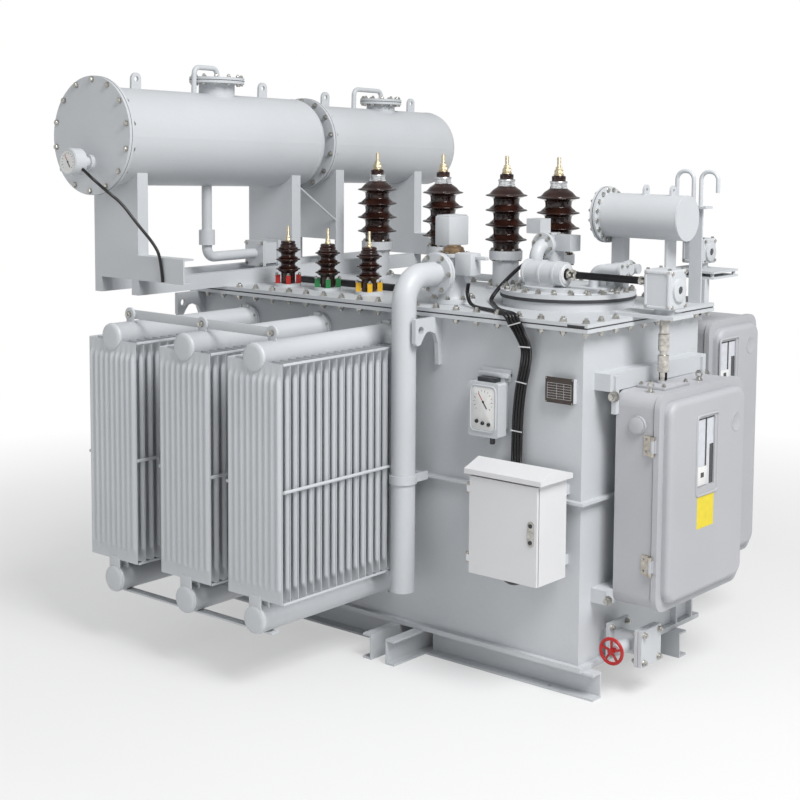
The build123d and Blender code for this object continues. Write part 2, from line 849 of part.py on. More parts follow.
def instruments():
    """The oil gauge on the front disc and the thermometer case on the wall."""
    gauge = join([
        round_y(0, -20, 0, 0, 34),
        round_y(0, -64, -20, 0, 24),
        round_y(0, -124, -64, 0, 60),
    ])
    gauge = TILTED * (Pos(0, 0, -GAUGE_DROP) * gauge)
    x0 = RIGHT - THERMO_IN
    z0 = WALL_Z1 - THERMO_DROP
    case = block(x0, x0 + THERMO_W, FRONT - 30 - THERMO_D, FRONT - 30, z0, z0 + THERMO_H)
    case = fillet(case.edges().filter_by(Axis.Y), 8)
    back = block(x0 + 12, x0 + THERMO_W - 12, FRONT - 30, FRONT, z0 + 30, z0 + THERMO_H + 25)
    return group([gauge, case + back])


def dial_faces():
    """The clear discs of the oil gauge and the thermometer."""
    gauge = TILTED * (Pos(0, 0, -GAUGE_DROP) * round_y(0, -127, -124, 0, 50))
    x = RIGHT - THERMO_IN + THERMO_W / 2
    y = FRONT - 30 - THERMO_D
    z = WALL_Z1 - THERMO_DROP + THERMO_H - 80
    return group([gauge, round_y(x, y - 3, y, z, 60)])


# Wiring

DUCT = (339, 926, 327, 362, 30)
BUNDLE_R = 8
LEAD_R = 7
GAUGE_DROP = 118
GAUGE_SIDE = (52.3, -94, 30.2)
BUNDLE_OUT = RIM_OUT + BUNDLE_R + 6
BUNDLE_WALL = 32


def wiring():
    """A duct on the cover, a bundle down the front wall and the lead of the oil gauge."""
    x0, x1, y0, y1, h = DUCT
    duct = block(LEFT + x0, LEFT + x1, FRONT + y0, FRONT + y1, TOP, TOP + h)
    z = TOP + BUNDLE_R
    out_y = FRONT - BUNDLE_OUT
    wall_y = FRONT - BUNDLE_WALL
    end_z = BOX_Z1 - 35
    bundle = pipe([
        (TAP_X - 145, FRONT + 160, z), (BOX_X0 + 55, out_y, z), (BOX_X0 + 97, out_y, WALL_Z1 - 15),
        (BOX_X0 + 107, wall_y, WALL_Z1 - 100), (BOX_X0 + 91, wall_y, WALL_Z1 - 224),
        (BOX_X0 + 67, wall_y, end_z), (BOX_X0 + 67, BOX_Y1, end_z),
    ], BUNDLE_R, 12)
    start = (TILTED * Pos(GAUGE_SIDE[0], GAUGE_SIDE[1], -GAUGE_DROP - GAUGE_SIDE[2])).position
    web_y = CONS_Y0 + SUPPORT_AT[0] - LEAD_R
    lead = pipe([
        tuple(start), (CONS_X + 110, start.Y, CONS_Z - 180),
        (CONS_X + 130, web_y - 140, CONS_Z - 246), (CONS_X + 180, web_y - 105, CONS_Z - 294),
        (CONS_X + 230, web_y - 70, CONS_Z - 376), (CONS_X + 282, web_y - 12, BEAM_Z1 + 58),
        (CONS_X + 309, web_y, BEAM_Z1 - 2), (CONS_X + 320, web_y, BEAM_Z0 + 4),
    ], LEAD_R, 12)
    return group([duct, bundle, lead])


# Tap changer


def tap_seat():
    return round_z(TAP_X, TAP_Y, TOP, TOP + SEAT_H, TAP_R - 8)


FLANGE_TOP = LID_Z + TAP_FLANGE_H
HEAD_TOP = FLANGE_TOP + DOME_H
SHAFT_X0 = TAP_X + CASE_FRONT + 35 - SEAT_IN
SHAFT_X1 = GEAR_X - GEAR_S / 2 + SEAT_IN


def tap_head():
    """The bolted head with its raised lid and the drive case lying on it."""
    flange = round_z(TAP_X, TAP_Y, LID_Z, FLANGE_TOP, TAP_R)
    dome = round_z(TAP_X, TAP_Y, FLANGE_TOP, HEAD_TOP, TAP_R - DOME_IN)
    x0 = TAP_X - CASE_BACK
    x1 = TAP_X + CASE_FRONT
    foot = block(x0 + 10, x1 - 10, SHAFT_Y - 34, SHAFT_Y + 34, FLANGE_TOP, SHAFT_Z)
    case = round_x(x0, x1, SHAFT_Y, SHAFT_Z, CASE_R)
    parts = [flange, dome, foot, case]
    for x in (x0, (x0 + x1) / 2, x1 - 10):
        parts.append(round_x(x, x + 10, SHAFT_Y, SHAFT_Z, CASE_R + 5))
    parts.append(round_x(x1, x1 + 35, SHAFT_Y, SHAFT_Z, CASE_R + 2))
    bore = round_x(x1 + 35 - BORE_DEEP, x1 + 36, SHAFT_Y, SHAFT_Z, SHAFT_R + RUN_FIT)
    return join(parts) - bore


def tap_relay():
    """The flanged body on the head with its elbow and its terminal boxes."""
    x = TAP_X - 150
    y = TAP_Y + 110
    top = HEAD_TOP + 205
    z = HEAD_TOP + 160
    body = round_z(x, y, HEAD_TOP, top, 48)
    arm = round_y(x, y - 85, y, z, 34)
    flange = round_y(x, y - 95, y - 75, z, 56)
    elbow = pipe([(x, y - 80, z), (x, y - 140, z), (x, y - 140, HEAD_TOP)], 30, 58)
    side = block(x + 30, x + 110, y - 40, y + 40, z - 25, z + 45)
    shelf = block(x - 125, x, y - 40, y + 40, top, top + 5)
    box = block(x - 125, x - 50, y - 40, y + 40, top + 5, top + 65)
    return join([body, arm, flange, elbow, side, shelf, box])


def tap_pipes():
    """Three flanged elbows on the head."""
    parts = []
    high = HEAD_TOP + 78
    for i in range(3):
        x = TAP_X + 130
        y = TAP_Y + i * 60
        elbow = pipe([(x, y, HEAD_TOP), (x, y, high), (x + 150, y, high)], 21, 45)
        parts.append(elbow + round_x(x + 140 - i * 22, x + 152 - i * 22, y, high, 36))
    return group(parts)


def vent_pipes():
    """Two tall bent vents on a bracket behind the small vessel."""
    y = SMALL_Y + VENT_POST
    x = RIGHT - 8
    post = block(x - 30, x + 30, y - 5, y + 5, TOP, SMALL_Z + 30)
    shelf = block(x - 60, x + 60, y - 30, y + 30, SMALL_Z + 30, SMALL_Z + 40)
    parts = [post, shelf]
    for side in (-1, 1):
        xa = x + side * 18
        xb = x + side * 100
        high = SMALL_Z + 190
        low = SMALL_Z + 40 if side < 0 else SMALL_Z + 100
        parts.append(pipe([(xa, y, SMALL_Z + 35), (xa, y, high), (xb, y, high), (xb, y, low)],
                          9, 38))
    return join(parts)


def drive_shaft_top():
    """The level shaft with a universal joint at each end."""
    shaft = round_x(SHAFT_X0, SHAFT_X1, SHAFT_Y, SHAFT_Z, SHAFT_R)
    near = round_x(SHAFT_X0 + SEAT_IN + 6, SHAFT_X0 + SEAT_IN + 62, SHAFT_Y, SHAFT_Z, JOINT_R)
    far = round_x(SHAFT_X1 - SEAT_IN - 52, SHAFT_X1 - SEAT_IN - 6, SHAFT_Y, SHAFT_Z, JOINT_R)
    return join([shaft, near, far])


def gearbox(x, y, z, size, height):
    """A bevel gear housing on a round neck, bored for the shaft from below."""
    half = size / 2
    neck = round_z(x, y, z, z + GEAR_NECK_H, GEAR_NECK_R)
    body = block(x - half, x + half, y - half, y + half, z + GEAR_NECK_H, z + height)
    body = fillet(body.edges(), 6)
    boss = round_x(x + half - 5, x + half + 8, y, z + height * 0.55, size * 0.38)
    bore = round_z(x, y, z - 1, z + BORE_DEEP, SHAFT_R + RUN_FIT)
    return join([neck, body, boss]) - bore


def bevel_gearboxes():
    near = gearbox(GEAR_X, SHAFT_Y, TOP + BRACKET_T, GEAR_S, GEAR_H + GEAR_NECK_H)
    left = GEAR_X - GEAR_S / 2
    near = near - round_x(left - 1, left + BORE_DEEP, SHAFT_Y, SHAFT_Z, SHAFT_R + RUN_FIT)
    far = gearbox(FAR_GEAR_X, FAR_GEAR_Y, FAR_GEAR_Z, FAR_GEAR_S, FAR_GEAR_S + GEAR_NECK_H)
    return group([near, far])


def gearbox_brackets():
    """The plate under the near gearbox and the double plate on its post."""
    near = block(
        RIGHT - 60, GEAR_X + GEAR_S / 2 + 25, SHAFT_Y - 80, SHAFT_Y + 80, TOP, TOP + BRACKET_T)
    near = near - round_z(GEAR_X, SHAFT_Y, TOP - 1, TOP + BRACKET_T + 1, SHAFT_HOLE_R)
    x0 = FAR_GEAR_X - 95
    x1 = RIGHT + 60
    y0 = BACK + 20
    y1 = FAR_GEAR_Y + 70
    post = block(RIGHT - 15, RIGHT + 25, BACK + 5, BACK + 45, TOP, FAR_PLATE_Z)
    parts = [post]
    for z in (FAR_PLATE_Z, FAR_PLATE_Z + FAR_PLATE_STEP):
        parts.append(block(x0, x1, y0, y1, z, z + FAR_PLATE_T))
    for x in (x0 + 15, x1 - 15):
        for y in (y0 + 15, y1 - 15):
            parts.append(round_z(x, y, FAR_PLATE_Z, FAR_PLATE_Z + FAR_PLATE_STEP, 8))
    far = join(parts) - round_z(
        FAR_GEAR_X, FAR_GEAR_Y, FAR_PLATE_Z - 1, FAR_GEAR_Z + 1, SHAFT_HOLE_R)
    return group([near, far])


def upright_shaft(x, y, z0, z1):
    """A vertical shaft with two couplings."""
    stem = round_z(x, y, z0, z1, SHAFT_R)
    low = round_z(x, y, z0 + SEAT_IN + 10, z0 + SEAT_IN + 70, JOINT_R)
    high = round_z(x, y, z0 + SEAT_IN + 92, z0 + SEAT_IN + 150, JOINT_R)
    return join([stem, low, high])


def drive_shaft_down():
    low = CAB_Z1 + BOSS_H - SEAT_IN
    return upright_shaft(GEAR_X, SHAFT_Y, low, TOP + BRACKET_T + SEAT_IN)


def drive_shaft_far():
    low = FAR_Z1 + BOSS_H - SEAT_IN
    return upright_shaft(FAR_GEAR_X, FAR_GEAR_Y, low, FAR_GEAR_Z + SEAT_IN)


def small_conservator_posts():
    x0 = RIGHT - SMALL_BACK
    drum = round_x(x0 - 1, x0 + SMALL_L + 1, SMALL_Y, SMALL_Z, SMALL_R)
    half = POST_W / 2
    post = block(RIGHT - 5, RIGHT + 5, SMALL_Y - half, SMALL_Y + half, TOP, SMALL_Z)
    foot = block(RIGHT - 40, RIGHT + 40, SMALL_Y - half, SMALL_Y + half, TOP, TOP + 12)
    saddle_x = TAP_X + 105
    saddle = block(
        saddle_x, saddle_x + 60, SMALL_Y - 5, SMALL_Y + 45, FLANGE_TOP, SMALL_Z)
    return group([post + foot - drum, saddle - drum])


# Pressure relief


def relief_device():
    """A round body on the cover with a flanged arm and a terminal box."""
    foot = round_z(PRD_X, PRD_Y, TOP, TOP + 20, PRD_R + 22)
    body = round_z(PRD_X, PRD_Y, TOP, TOP + PRD_H, PRD_R)
    arm = round_y(PRD_X, PRD_Y - ARM_L, PRD_Y, PIPE_Z, PIPE_R + 6)
    flange = round_y(PRD_X, PRD_Y - ARM_L, PRD_Y - ARM_L + 12, PIPE_Z, ARM_FLANGE_R)
    side = block(PRD_X + 40, PRD_X + 130, PRD_Y - 55, PRD_Y + 15, PIPE_Z - 20, PIPE_Z + 75)
    y = PRD_Y + CAP_R + 4
    z = TOP + PRD_H
    box = block(PRD_X - 40, PRD_X + 40, y, y + 70, z - 10, z + CAP_H + 95)
    return join([foot, body, arm, flange, side, box])


def relief_cap():
    return round_z(PRD_X, PRD_Y, TOP + PRD_H, TOP + PRD_H + CAP_H, CAP_R)


def discharge_pipe():
    y0 = PRD_Y - ARM_L
    path = [(PRD_X, y0, PIPE_Z), (PRD_X, PIPE_Y, PIPE_Z), (PRD_X, PIPE_Y, PIPE_END)]
    flange = round_y(PRD_X, y0 - 12, y0, PIPE_Z, ARM_FLANGE_R)
    return pipe(path, PIPE_R, PIPE_BEND) + flange


# Wall fittings


def clamp_bracket():
    """A flat bar from the wall with a ring around the discharge pipe."""
    z0 = WALL_Z0 + CLAMP_UP - 18
    z1 = z0 + 36
    clamp = round_z(PRD_X, PIPE_Y, z0, z1, PIPE_R + 7)
    arm = block(PRD_X + 25, PRD_X + 35, PIPE_Y, FRONT - BAND_OUT, z0, z1)
    return clamp + arm - round_z(PRD_X, PIPE_Y, z0 - 1, z1 + 1, PIPE_R)


def wall_channel(y0, y1, z0, z1):
    """A channel along Y on the right wall, its smooth face outward and its ends closed."""
    t = CHANNEL_T
    return join([
        block(CAB_X0 - t, CAB_X0, y0, y1, z0, z1),
        block(RIGHT, CAB_X0, y0, y1, z0, z0 + t),
        block(RIGHT, CAB_X0, y0, y1, z1 - t, z1),
        block(RIGHT, CAB_X0, y0, y0 + t, z0, z1),
        block(RIGHT, CAB_X0, y1 - t, y1, z0, z1),
    ])


def cabinet_channels():
    """The two wall channels of the near cabinet, the upper one with a lug at each side."""
    y0 = CAB_Y0 - CHANNEL_OVER
    y1 = CAB_Y1 + CHANNEL_OVER
    high = wall_channel(y0, y1, CAB_Z1 + HIGH_CHANNEL[0], CAB_Z1 + HIGH_CHANNEL[1])
    low = wall_channel(y0, y1, CAB_Z0 + LOW_CHANNEL[0], CAB_Z0 + LOW_CHANNEL[1])
    z1 = CAB_Z1 + HIGH_CHANNEL[1] - CHANNEL_T
    for y in (CAB_Y0 - LUG_OUT, CAB_Y1):
        lug = block(CAB_X0 - CHANNEL_T, CAB_X0 + 12, y, y + LUG_OUT, CAB_Z1 - LUG_DROP, z1)
        high = high + lug
    return [high, low]


def cabinet_arm(z):
    """A channel along Y from the rear wall that carries the far cabinet."""
    x1 = FAR_X0
    x0 = x1 - 45
    y1 = FAR_Y1 - 60
    parts = [
        block(x1 - 8, x1, BACK, y1, z, z + STUB_H),
        block(x0, x1, BACK, y1, z, z + 8),
        block(x0, x1, BACK, y1, z + STUB_H - 8, z + STUB_H),
    ]
    return join(parts)


def wall_brackets():
    """Everything that is fixed to the tank wall to carry a fitting."""
    parts = [clamp_bracket()]
    plate_x = RIGHT - PLATE_IN
    z0 = WALL_Z1 - PLATE_DROP
    for x in (plate_x + 4, plate_x + PLATE_W - 12):
        parts.append(block(x, x + 8, FRONT - PLATE_OUT, FRONT, z0 + 4, z0 + PLATE_H - 4))
    parts.extend(cabinet_channels())
    for z in (FAR_Z0 + 150, FAR_Z1 - 250):
        parts.append(cabinet_arm(z))
    for x in (BOX_X0 + 20, BOX_X1 - 50):
        for z in (BOX_Z0 + 40, BOX_Z1 - 80):
            parts.append(block(x, x + 30, BOX_Y1, FRONT, z, z + 40))
    return group(parts)


def nameplate():
    x0 = RIGHT - PLATE_IN
    z0 = WALL_Z1 - PLATE_DROP
    y1 = FRONT - PLATE_OUT
    return block(x0, x0 + PLATE_W, y1 - PLATE_T, y1, z0, z0 + PLATE_H)


def control_box():
    """A sheet-metal box, open at its front."""
    outer = block(BOX_X0, BOX_X1, BOX_Y0, BOX_Y1, BOX_Z0, BOX_Z1)
    t = BOX_WALL
    inner = block(BOX_X0 + t, BOX_X1 - t, BOX_Y0 - 1, BOX_Y1 - t, BOX_Z0 + t, BOX_Z1 - t)
    return outer - inner


def control_roof():
    """The gabled rain roof, with its eaves beyond the door."""
    y0 = BOX_Y0 - ROOF_EAVE - 3
    y1 = BOX_Y1 + 10
    outline = [
        (y0, BOX_Z1), (y1, BOX_Z1), (y1, BOX_Z1 + 20), (BOX_Y0 + 70, BOX_Z1 + ROOF_H),
        (y0, BOX_Z1 + 20),
    ]
    return profile_x(BOX_X0 - ROOF_EAVE, BOX_X1 + ROOF_EAVE, outline)


# Hinges

KNUCKLE_GAP = 0.5


def fixed_hinge(side, knuckle_r, pin_r, half):
    """Leaf, two knuckles and pin about the Z axis, with the box wall at +Y."""
    share = half - half * 0.62
    leaf = block(-DOOR_GAP - LEAF_L, -DOOR_GAP, side - LEAF_T, side, -half, half)
    parts = [leaf, round_z(0, 0, -half, half, pin_r)]
    for z0 in (-half, half - share):
        parts.append(round_z(0, 0, z0, z0 + share, knuckle_r))
        parts.append(block(-knuckle_r - 5, -DOOR_GAP, 0, side, z0, z0 + share))
    return join(parts)


def door_knuckle(side, knuckle_r, half):
    """The knuckle that a door carries, with an arm into the door's edge."""
    reach = half * 0.62 - KNUCKLE_GAP
    knuckle = round_z(0, 0, -reach, reach, knuckle_r)
    arm = block(0, DOOR_RIM / 2, 0, side, -reach, reach)
    return knuckle + arm


def with_hinges(leaf, places, turn, side, knuckle_r, pin_r, half):
    """A door leaf with its knuckles added and bored for the pins."""
    for place in places:
        at = Pos(*place) * Rot(0, 0, turn)
        leaf = leaf + at * door_knuckle(side, knuckle_r, half)
        leaf = leaf - at * round_z(0, 0, -half, half, pin_r + RUN_FIT)
    return leaf


def hinge_places(x, y, z0, z1, shares):
    return [(x, y, z0 + (z1 - z0) * share) for share in shares]


NEAR_HINGES = hinge_places(CAB_X1 + DOOR_GAP, CAB_Y0 - HINGE_SIDE, CAB_Z0, CAB_Z1, HINGE_AT)
FAR_HINGES = hinge_places(FAR_X1 + DOOR_GAP, FAR_Y0 - HINGE_SIDE, FAR_Z0, FAR_Z1, HINGE_AT)
BOX_HINGES = hinge_places(
    BOX_X0 - SMALL_HINGE_SIDE, BOX_Y0 - DOOR_GAP, BOX_Z0, BOX_Z1, BOX_HINGE_AT)


def door_hinges():
    """The fixed halves of all six hinges."""
    parts = []
    for place in NEAR_HINGES + FAR_HINGES:
        parts.append(Pos(*place) * fixed_hinge(HINGE_SIDE, KNUCKLE_R, PIN_R, HINGE_H))
    for place in BOX_HINGES:
        half = fixed_hinge(SMALL_HINGE_SIDE, SMALL_KNUCKLE_R, SMALL_PIN_R, SMALL_HINGE_H)
        parts.append(Pos(*place) * Rot(0, 0, -90) * half)
    return group(parts)


def control_door():
    y1 = BOX_Y0 - DOOR_GAP
    leaf = block(BOX_X0, BOX_X1, y1 - BOX_DOOR_T, y1, BOX_Z0 + 2, BOX_Z1 - 8)
    return with_hinges(
        leaf, BOX_HINGES, -90, SMALL_HINGE_SIDE + 2, SMALL_KNUCKLE_R, SMALL_PIN_R, SMALL_HINGE_H)


# Drain valve


def drain_valve():
    """The valve at the foot of the right wall, closed by a bolted plate."""
    half = VALVE_FACE / 2
    y0 = VALVE_Y - half
    y1 = VALVE_Y + half
    z0 = VALVE_Z - half + 5
    z1 = VALVE_Z + half + 5
    inlet = round_x(RIGHT, RIGHT + 56, VALVE_Y, VALVE_Z, VALVE_PIPE_R)
    inner = block(RIGHT + 40, RIGHT + 56, y0, y1, z0, z1)
    body = round_x(RIGHT + 50, RIGHT + 180, VALVE_Y, VALVE_Z, VALVE_BODY_R)
    outer = block(RIGHT + 174, RIGHT + 190, y0, y1, z0, z1)
    packing = round_x(RIGHT + 188, RIGHT + 194, VALVE_Y, VALVE_Z, half - 15)
    plate = block(RIGHT + 192, RIGHT + 208, y0, y1, z0, z1)
    bonnet = round_y(WHEEL_X, WHEEL_Y + 40, VALVE_Y, VALVE_Z, 28)
    gland = round_y(WHEEL_X, WHEEL_Y + 28, WHEEL_Y + 42, VALVE_Z, 18)
    bore = round_y(WHEEL_X, WHEEL_Y + 27, WHEEL_Y + 28 + BORE_DEEP, VALVE_Z, WHEEL_STEM_R + RUN_FIT)
    return join([inlet, inner, body, outer, packing, plate, bonnet, gland]) - bore


def drain_handwheel():
    """Rim, hub, stem and five spokes."""
    centre = Pos(WHEEL_X, WHEEL_Y, VALVE_Z) * Rot(90, 0, 0)
    parts = [
        centre * Torus(WHEEL_R, WHEEL_RIM_R),
        round_y(WHEEL_X, WHEEL_Y - 10, WHEEL_Y + 12, VALVE_Z, 13),
        round_y(WHEEL_X, WHEEL_Y, WHEEL_Y + 28 + SEAT_IN, VALVE_Z, WHEEL_STEM_R),
    ]
    for i in range(5):
        parts.append(centre * Rot(0, 0, 90 + i * 72) * Pos(WHEEL_R / 2, 0, 0) * Box(WHEEL_R - 4, 9, 6))
    return join(parts)


# Motor cabinets


def cabinet(x0, x1, y0, y1, z0, z1):
    """A cast cabinet body, open at its +X side."""
    t = CAB_WALL
    outer = block(x0, x1, y0, y1, z0, z1)
    outer = fillet(outer.edges().filter_by(Axis.X), CAB_ROUND)
    inner = block(x0 + t, x1 + 1, y0 + t, y1 - t, z0 + t, z1 - t)
    inner = fillet(inner.edges().filter_by(Axis.X), CAB_ROUND - t)
    return outer - inner


def shaft_boss(x, y, z):
    """A bored seat for an upright shaft on a cabinet's roof."""
    boss = round_z(x, y, z, z + BOSS_H, BOSS_R)
    return boss - round_z(x, y, z + BOSS_H - BORE_DEEP, z + BOSS_H + 1, SHAFT_R + RUN_FIT)


def motor_cabinets():
    near = cabinet(CAB_X0, CAB_X1, CAB_Y0, CAB_Y1, CAB_Z0, CAB_Z1)
    x_in, down, r, thick = SIDE_BOSS
    near = near + round_y(CAB_X0 + x_in, CAB_Y0 - thick, CAB_Y0 + 2, CAB_Z1 - down, r)
    far = cabinet(FAR_X0, FAR_X1, FAR_Y0, FAR_Y1, FAR_Z0, FAR_Z1)
    return group([near, far])


def shaft_bosses():
    near = shaft_boss(GEAR_X, SHAFT_Y, CAB_Z1)
    far = shaft_boss(FAR_GEAR_X, FAR_GEAR_Y, FAR_Z1)
    return group([near, far])


def cabinet_door(x1, y0, y1, z0, z1):
    """A pressed door with a deep middle and a window slot."""
    back = x1 + DOOR_GAP
    lip = block(back, back + DOOR_RIM, y0 - DOOR_LIP, y1 + DOOR_LIP, z0 - DOOR_LIP, z1 + DOOR_LIP)
    lip = fillet(lip.edges().filter_by(Axis.X), CAB_ROUND + DOOR_LIP)
    bulge = block(back, back + DOOR_T, y0 + 30, y1 - 30, z0 + 30, z1 - 30)
    bulge = fillet(bulge.edges().filter_by(Axis.X), CAB_ROUND)
    front_edges = bulge.faces().sort_by(Axis.X)[-1].edges()
    bulge = fillet(front_edges, 22)
    return lip + bulge


def near_cabinet_door():
    leaf = cabinet_door(CAB_X1, CAB_Y0, CAB_Y1, CAB_Z0, CAB_Z1)
    x = CAB_X1 + DOOR_GAP + DOOR_T
    leaf = leaf - block(
        x - SLOT_DEEP, x + 1, CAB_Y0 + SLOT_Y[0], CAB_Y0 + SLOT_Y[1],
        CAB_Z1 - SLOT_Z[1], CAB_Z1 - SLOT_Z[0])
    return with_hinges(leaf, NEAR_HINGES, 0, HINGE_SIDE - DOOR_LIP + 2, KNUCKLE_R, PIN_R, HINGE_H)


def far_cabinet_door():
    leaf = cabinet_door(FAR_X1, FAR_Y0, FAR_Y1, FAR_Z0, FAR_Z1)
    x = FAR_X1 + DOOR_GAP + DOOR_T
    leaf = leaf - block(
        x - SLOT_DEEP, x + 1, FAR_Y0 + FAR_SLOT_Y[0], FAR_Y0 + FAR_SLOT_Y[1],
        FAR_Z1 - FAR_SLOT_Z[1], FAR_Z1 - FAR_SLOT_Z[0])
    return with_hinges(leaf, FAR_HINGES, 0, HINGE_SIDE - DOOR_LIP + 2, KNUCKLE_R, PIN_R, HINGE_H)


PARTS = {
    "skids": skids,
    "cross_beams": cross_beams,
    "base_plate": base_plate,
    "tank_wall": tank_wall,
    "stiffener_band": stiffener_band,
    "tank_rim": tank_rim,
    "gaskets": gaskets,
    "tank_cover": tank_cover,
    "lifting_hooks": lifting_hooks,
    "cover_lugs": cover_lugs,
    "radiators_front": radiators_front,
    "radiators_back": radiators_back,
    "tie_bars": tie_bars,
    "bushing_turrets": bushing_turrets,
    "hv_insulators": hv_insulators,
    "lv_insulators": lv_insulators,
    "hv_caps": hv_caps,
    "terminals": terminals,
    "conservators": conservators,
    "conservator_ends": conservator_ends,
    "manhole_covers": manhole_covers,
    "conservator_supports": conservator_supports,
    "conservator_frame": conservator_frame,
    "oil_pipework": oil_pipework,
    "instruments": instruments,
    "dial_faces": dial_faces,
    "wiring": wiring,
    "tap_seat": tap_seat,
    "tap_head": tap_head,
    "tap_relay": tap_relay,
    "tap_pipes": tap_pipes,
    "vent_pipes": vent_pipes,
    "drive_shaft_top": drive_shaft_top,
    "drive_shaft_down": drive_shaft_down,
    "drive_shaft_far": drive_shaft_far,
    "bevel_gearboxes": bevel_gearboxes,
    "gearbox_brackets": gearbox_brackets,
    "small_conservator_posts": small_conservator_posts,
    "relief_device": relief_device,
    "relief_cap": relief_cap,
    "discharge_pipe": discharge_pipe,
    "wall_brackets": wall_brackets,
    "nameplate": nameplate,
    "control_box": control_box,
    "control_roof": control_roof,
    "control_door": control_door,
    "door_hinges": door_hinges,
    "drain_valve": drain_valve,
    "drain_handwheel": drain_handwheel,
    "motor_cabinets": motor_cabinets,
    "shaft_bosses": shaft_bosses,
    "near_cabinet_door": near_cabinet_door,
    "far_cabinet_door": far_cabinet_door,
}


def main():
    os.makedirs("parts", exist_ok=True)
    for name, make in PARTS.items():
        export_step(make(), "parts/" + name + ".step")
    for colour, at in zip(("red", "green", "yellow"), LV_X):
        export_step(clamps(at), "parts/clamps_" + colour + ".step")


main()
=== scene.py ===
"""Looks for an oil-filled power transformer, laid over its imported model.

The file is an add-on in its layout: sizes and colours are properties, and each
piece is made by an operator. Lengths in the shape functions are millimetres.
"""

import math

import bmesh
import bpy
import numpy as np
from mathutils import Matrix, Vector


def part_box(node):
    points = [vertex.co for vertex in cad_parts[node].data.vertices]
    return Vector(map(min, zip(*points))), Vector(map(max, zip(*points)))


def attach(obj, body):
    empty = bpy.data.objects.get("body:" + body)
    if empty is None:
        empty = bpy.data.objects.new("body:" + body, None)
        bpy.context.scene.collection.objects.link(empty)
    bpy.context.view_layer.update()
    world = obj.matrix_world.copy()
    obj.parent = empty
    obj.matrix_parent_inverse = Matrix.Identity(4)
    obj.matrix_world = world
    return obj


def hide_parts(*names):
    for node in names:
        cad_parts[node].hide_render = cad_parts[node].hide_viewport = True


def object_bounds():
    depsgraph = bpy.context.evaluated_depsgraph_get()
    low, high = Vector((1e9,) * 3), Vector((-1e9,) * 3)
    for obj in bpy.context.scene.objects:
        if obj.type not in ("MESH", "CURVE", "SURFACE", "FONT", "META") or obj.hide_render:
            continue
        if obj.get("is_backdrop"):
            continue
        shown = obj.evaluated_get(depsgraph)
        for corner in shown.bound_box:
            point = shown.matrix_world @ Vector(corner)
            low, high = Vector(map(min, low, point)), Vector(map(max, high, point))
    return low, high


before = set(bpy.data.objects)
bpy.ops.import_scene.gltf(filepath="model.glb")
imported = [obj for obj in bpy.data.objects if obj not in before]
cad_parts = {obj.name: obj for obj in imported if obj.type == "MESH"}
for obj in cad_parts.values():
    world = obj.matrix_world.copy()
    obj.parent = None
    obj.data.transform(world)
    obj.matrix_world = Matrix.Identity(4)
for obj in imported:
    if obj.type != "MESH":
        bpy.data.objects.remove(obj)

bl_info = {
    "name": "Power transformer looks",
    "version": (1, 0, 0),
    "blender": (4, 5, 0),
    "location": "View3D > Sidebar > Transformer",
    "description": "Dresses the packed power transformer and lights it",
    "category": "Object",
}

CAD_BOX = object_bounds()
MM = 0.001


def corners(node):
    """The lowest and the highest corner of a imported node, in millimetres."""
    low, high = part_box(node)
    return np.array(low) / MM, np.array(high) / MM


WALL_LOW, WALL_HIGH = corners("tank_wall")
COVER_HIGH = corners("tank_cover")[1]
RIM_LOW = corners("tank_rim")[0]
LEFT, FRONT = WALL_LOW[0], WALL_LOW[1]
RIGHT, BACK = WALL_HIGH[0], WALL_HIGH[1]
TOP = COVER_HIGH[2]
RIM_OUT = COVER_HIGH[0] - RIGHT

RADIATOR_X = (LEFT + 323, LEFT + 782, LEFT + 1192)
TALL_X = (LEFT + 442, LEFT + 862, LEFT + 1242, LEFT + 1535)
TALL_Y = BACK - 120
SHORT_X = (LEFT + 420, LEFT + 675, LEFT + 930)
SHORT_Y = FRONT + 165
DRUM = np.array((LEFT + 73, FRONT - 716, TOP + 709))
DRUM_TILT = math.radians(2)
REAR_START = 1330
TAP_X, TAP_Y = RIGHT - 395, 20
SHAFT_Y, SHAFT_Z = -92, TOP + 141
RELIEF_X, RELIEF_Y = LEFT + 1404, FRONT + 180
SEED = 7

X = np.array((1.0, 0.0, 0.0))
Y = np.array((0.0, 1.0, 0.0))
Z = np.array((0.0, 0.0, 1.0))


# Arrays


def unit(vectors):
    """Vectors divided by their length."""
    vectors = np.asarray(vectors, float)
    return vectors / np.linalg.norm(vectors, axis=-1, keepdims=True)


def across(axis):
    """Two unit vectors at right angles to an axis: the cross product with Z, or X, and the next."""
    axis = unit(axis)
    steep = np.abs(axis[..., 2:3]) > 0.9
    first = unit(np.cross(np.where(steep, X, Z), axis))
    return first, np.cross(axis, first)


def quads(rows, columns, wrap=True):
    """Faces of a grid of points: each joins a point, its right neighbour and the two above them."""
    row = np.arange(rows - 1)[:, None]
    column = np.arange(columns if wrap else columns - 1)[None, :]
    right = (column + 1) % columns
    low = row * columns
    high = low + columns
    return np.stack([low + column, low + right, high + right, high + column], -1).reshape(-1, 4)


def flowing(points, steps=6):
    """A curve through points: between two of them, the cubic whose end slopes are half the
    difference of their neighbours."""
    p = np.asarray(points, float)
    p = np.vstack([2 * p[0] - p[1], p, 2 * p[-1] - p[-2]])
    t = np.linspace(0, 1, steps, endpoint=False)[None, :, None]
    a, b, c, d = (p[i:len(p) - 3 + i, None] for i in range(4))
    curve = 0.5 * (
        2 * b + (c - a) * t + (2 * a - 5 * b + 4 * c - d) * t ** 2
        + (3 * b - a - 3 * c + d) * t ** 3)
    return np.vstack([curve.reshape(-1, p.shape[1]), p[-2]])


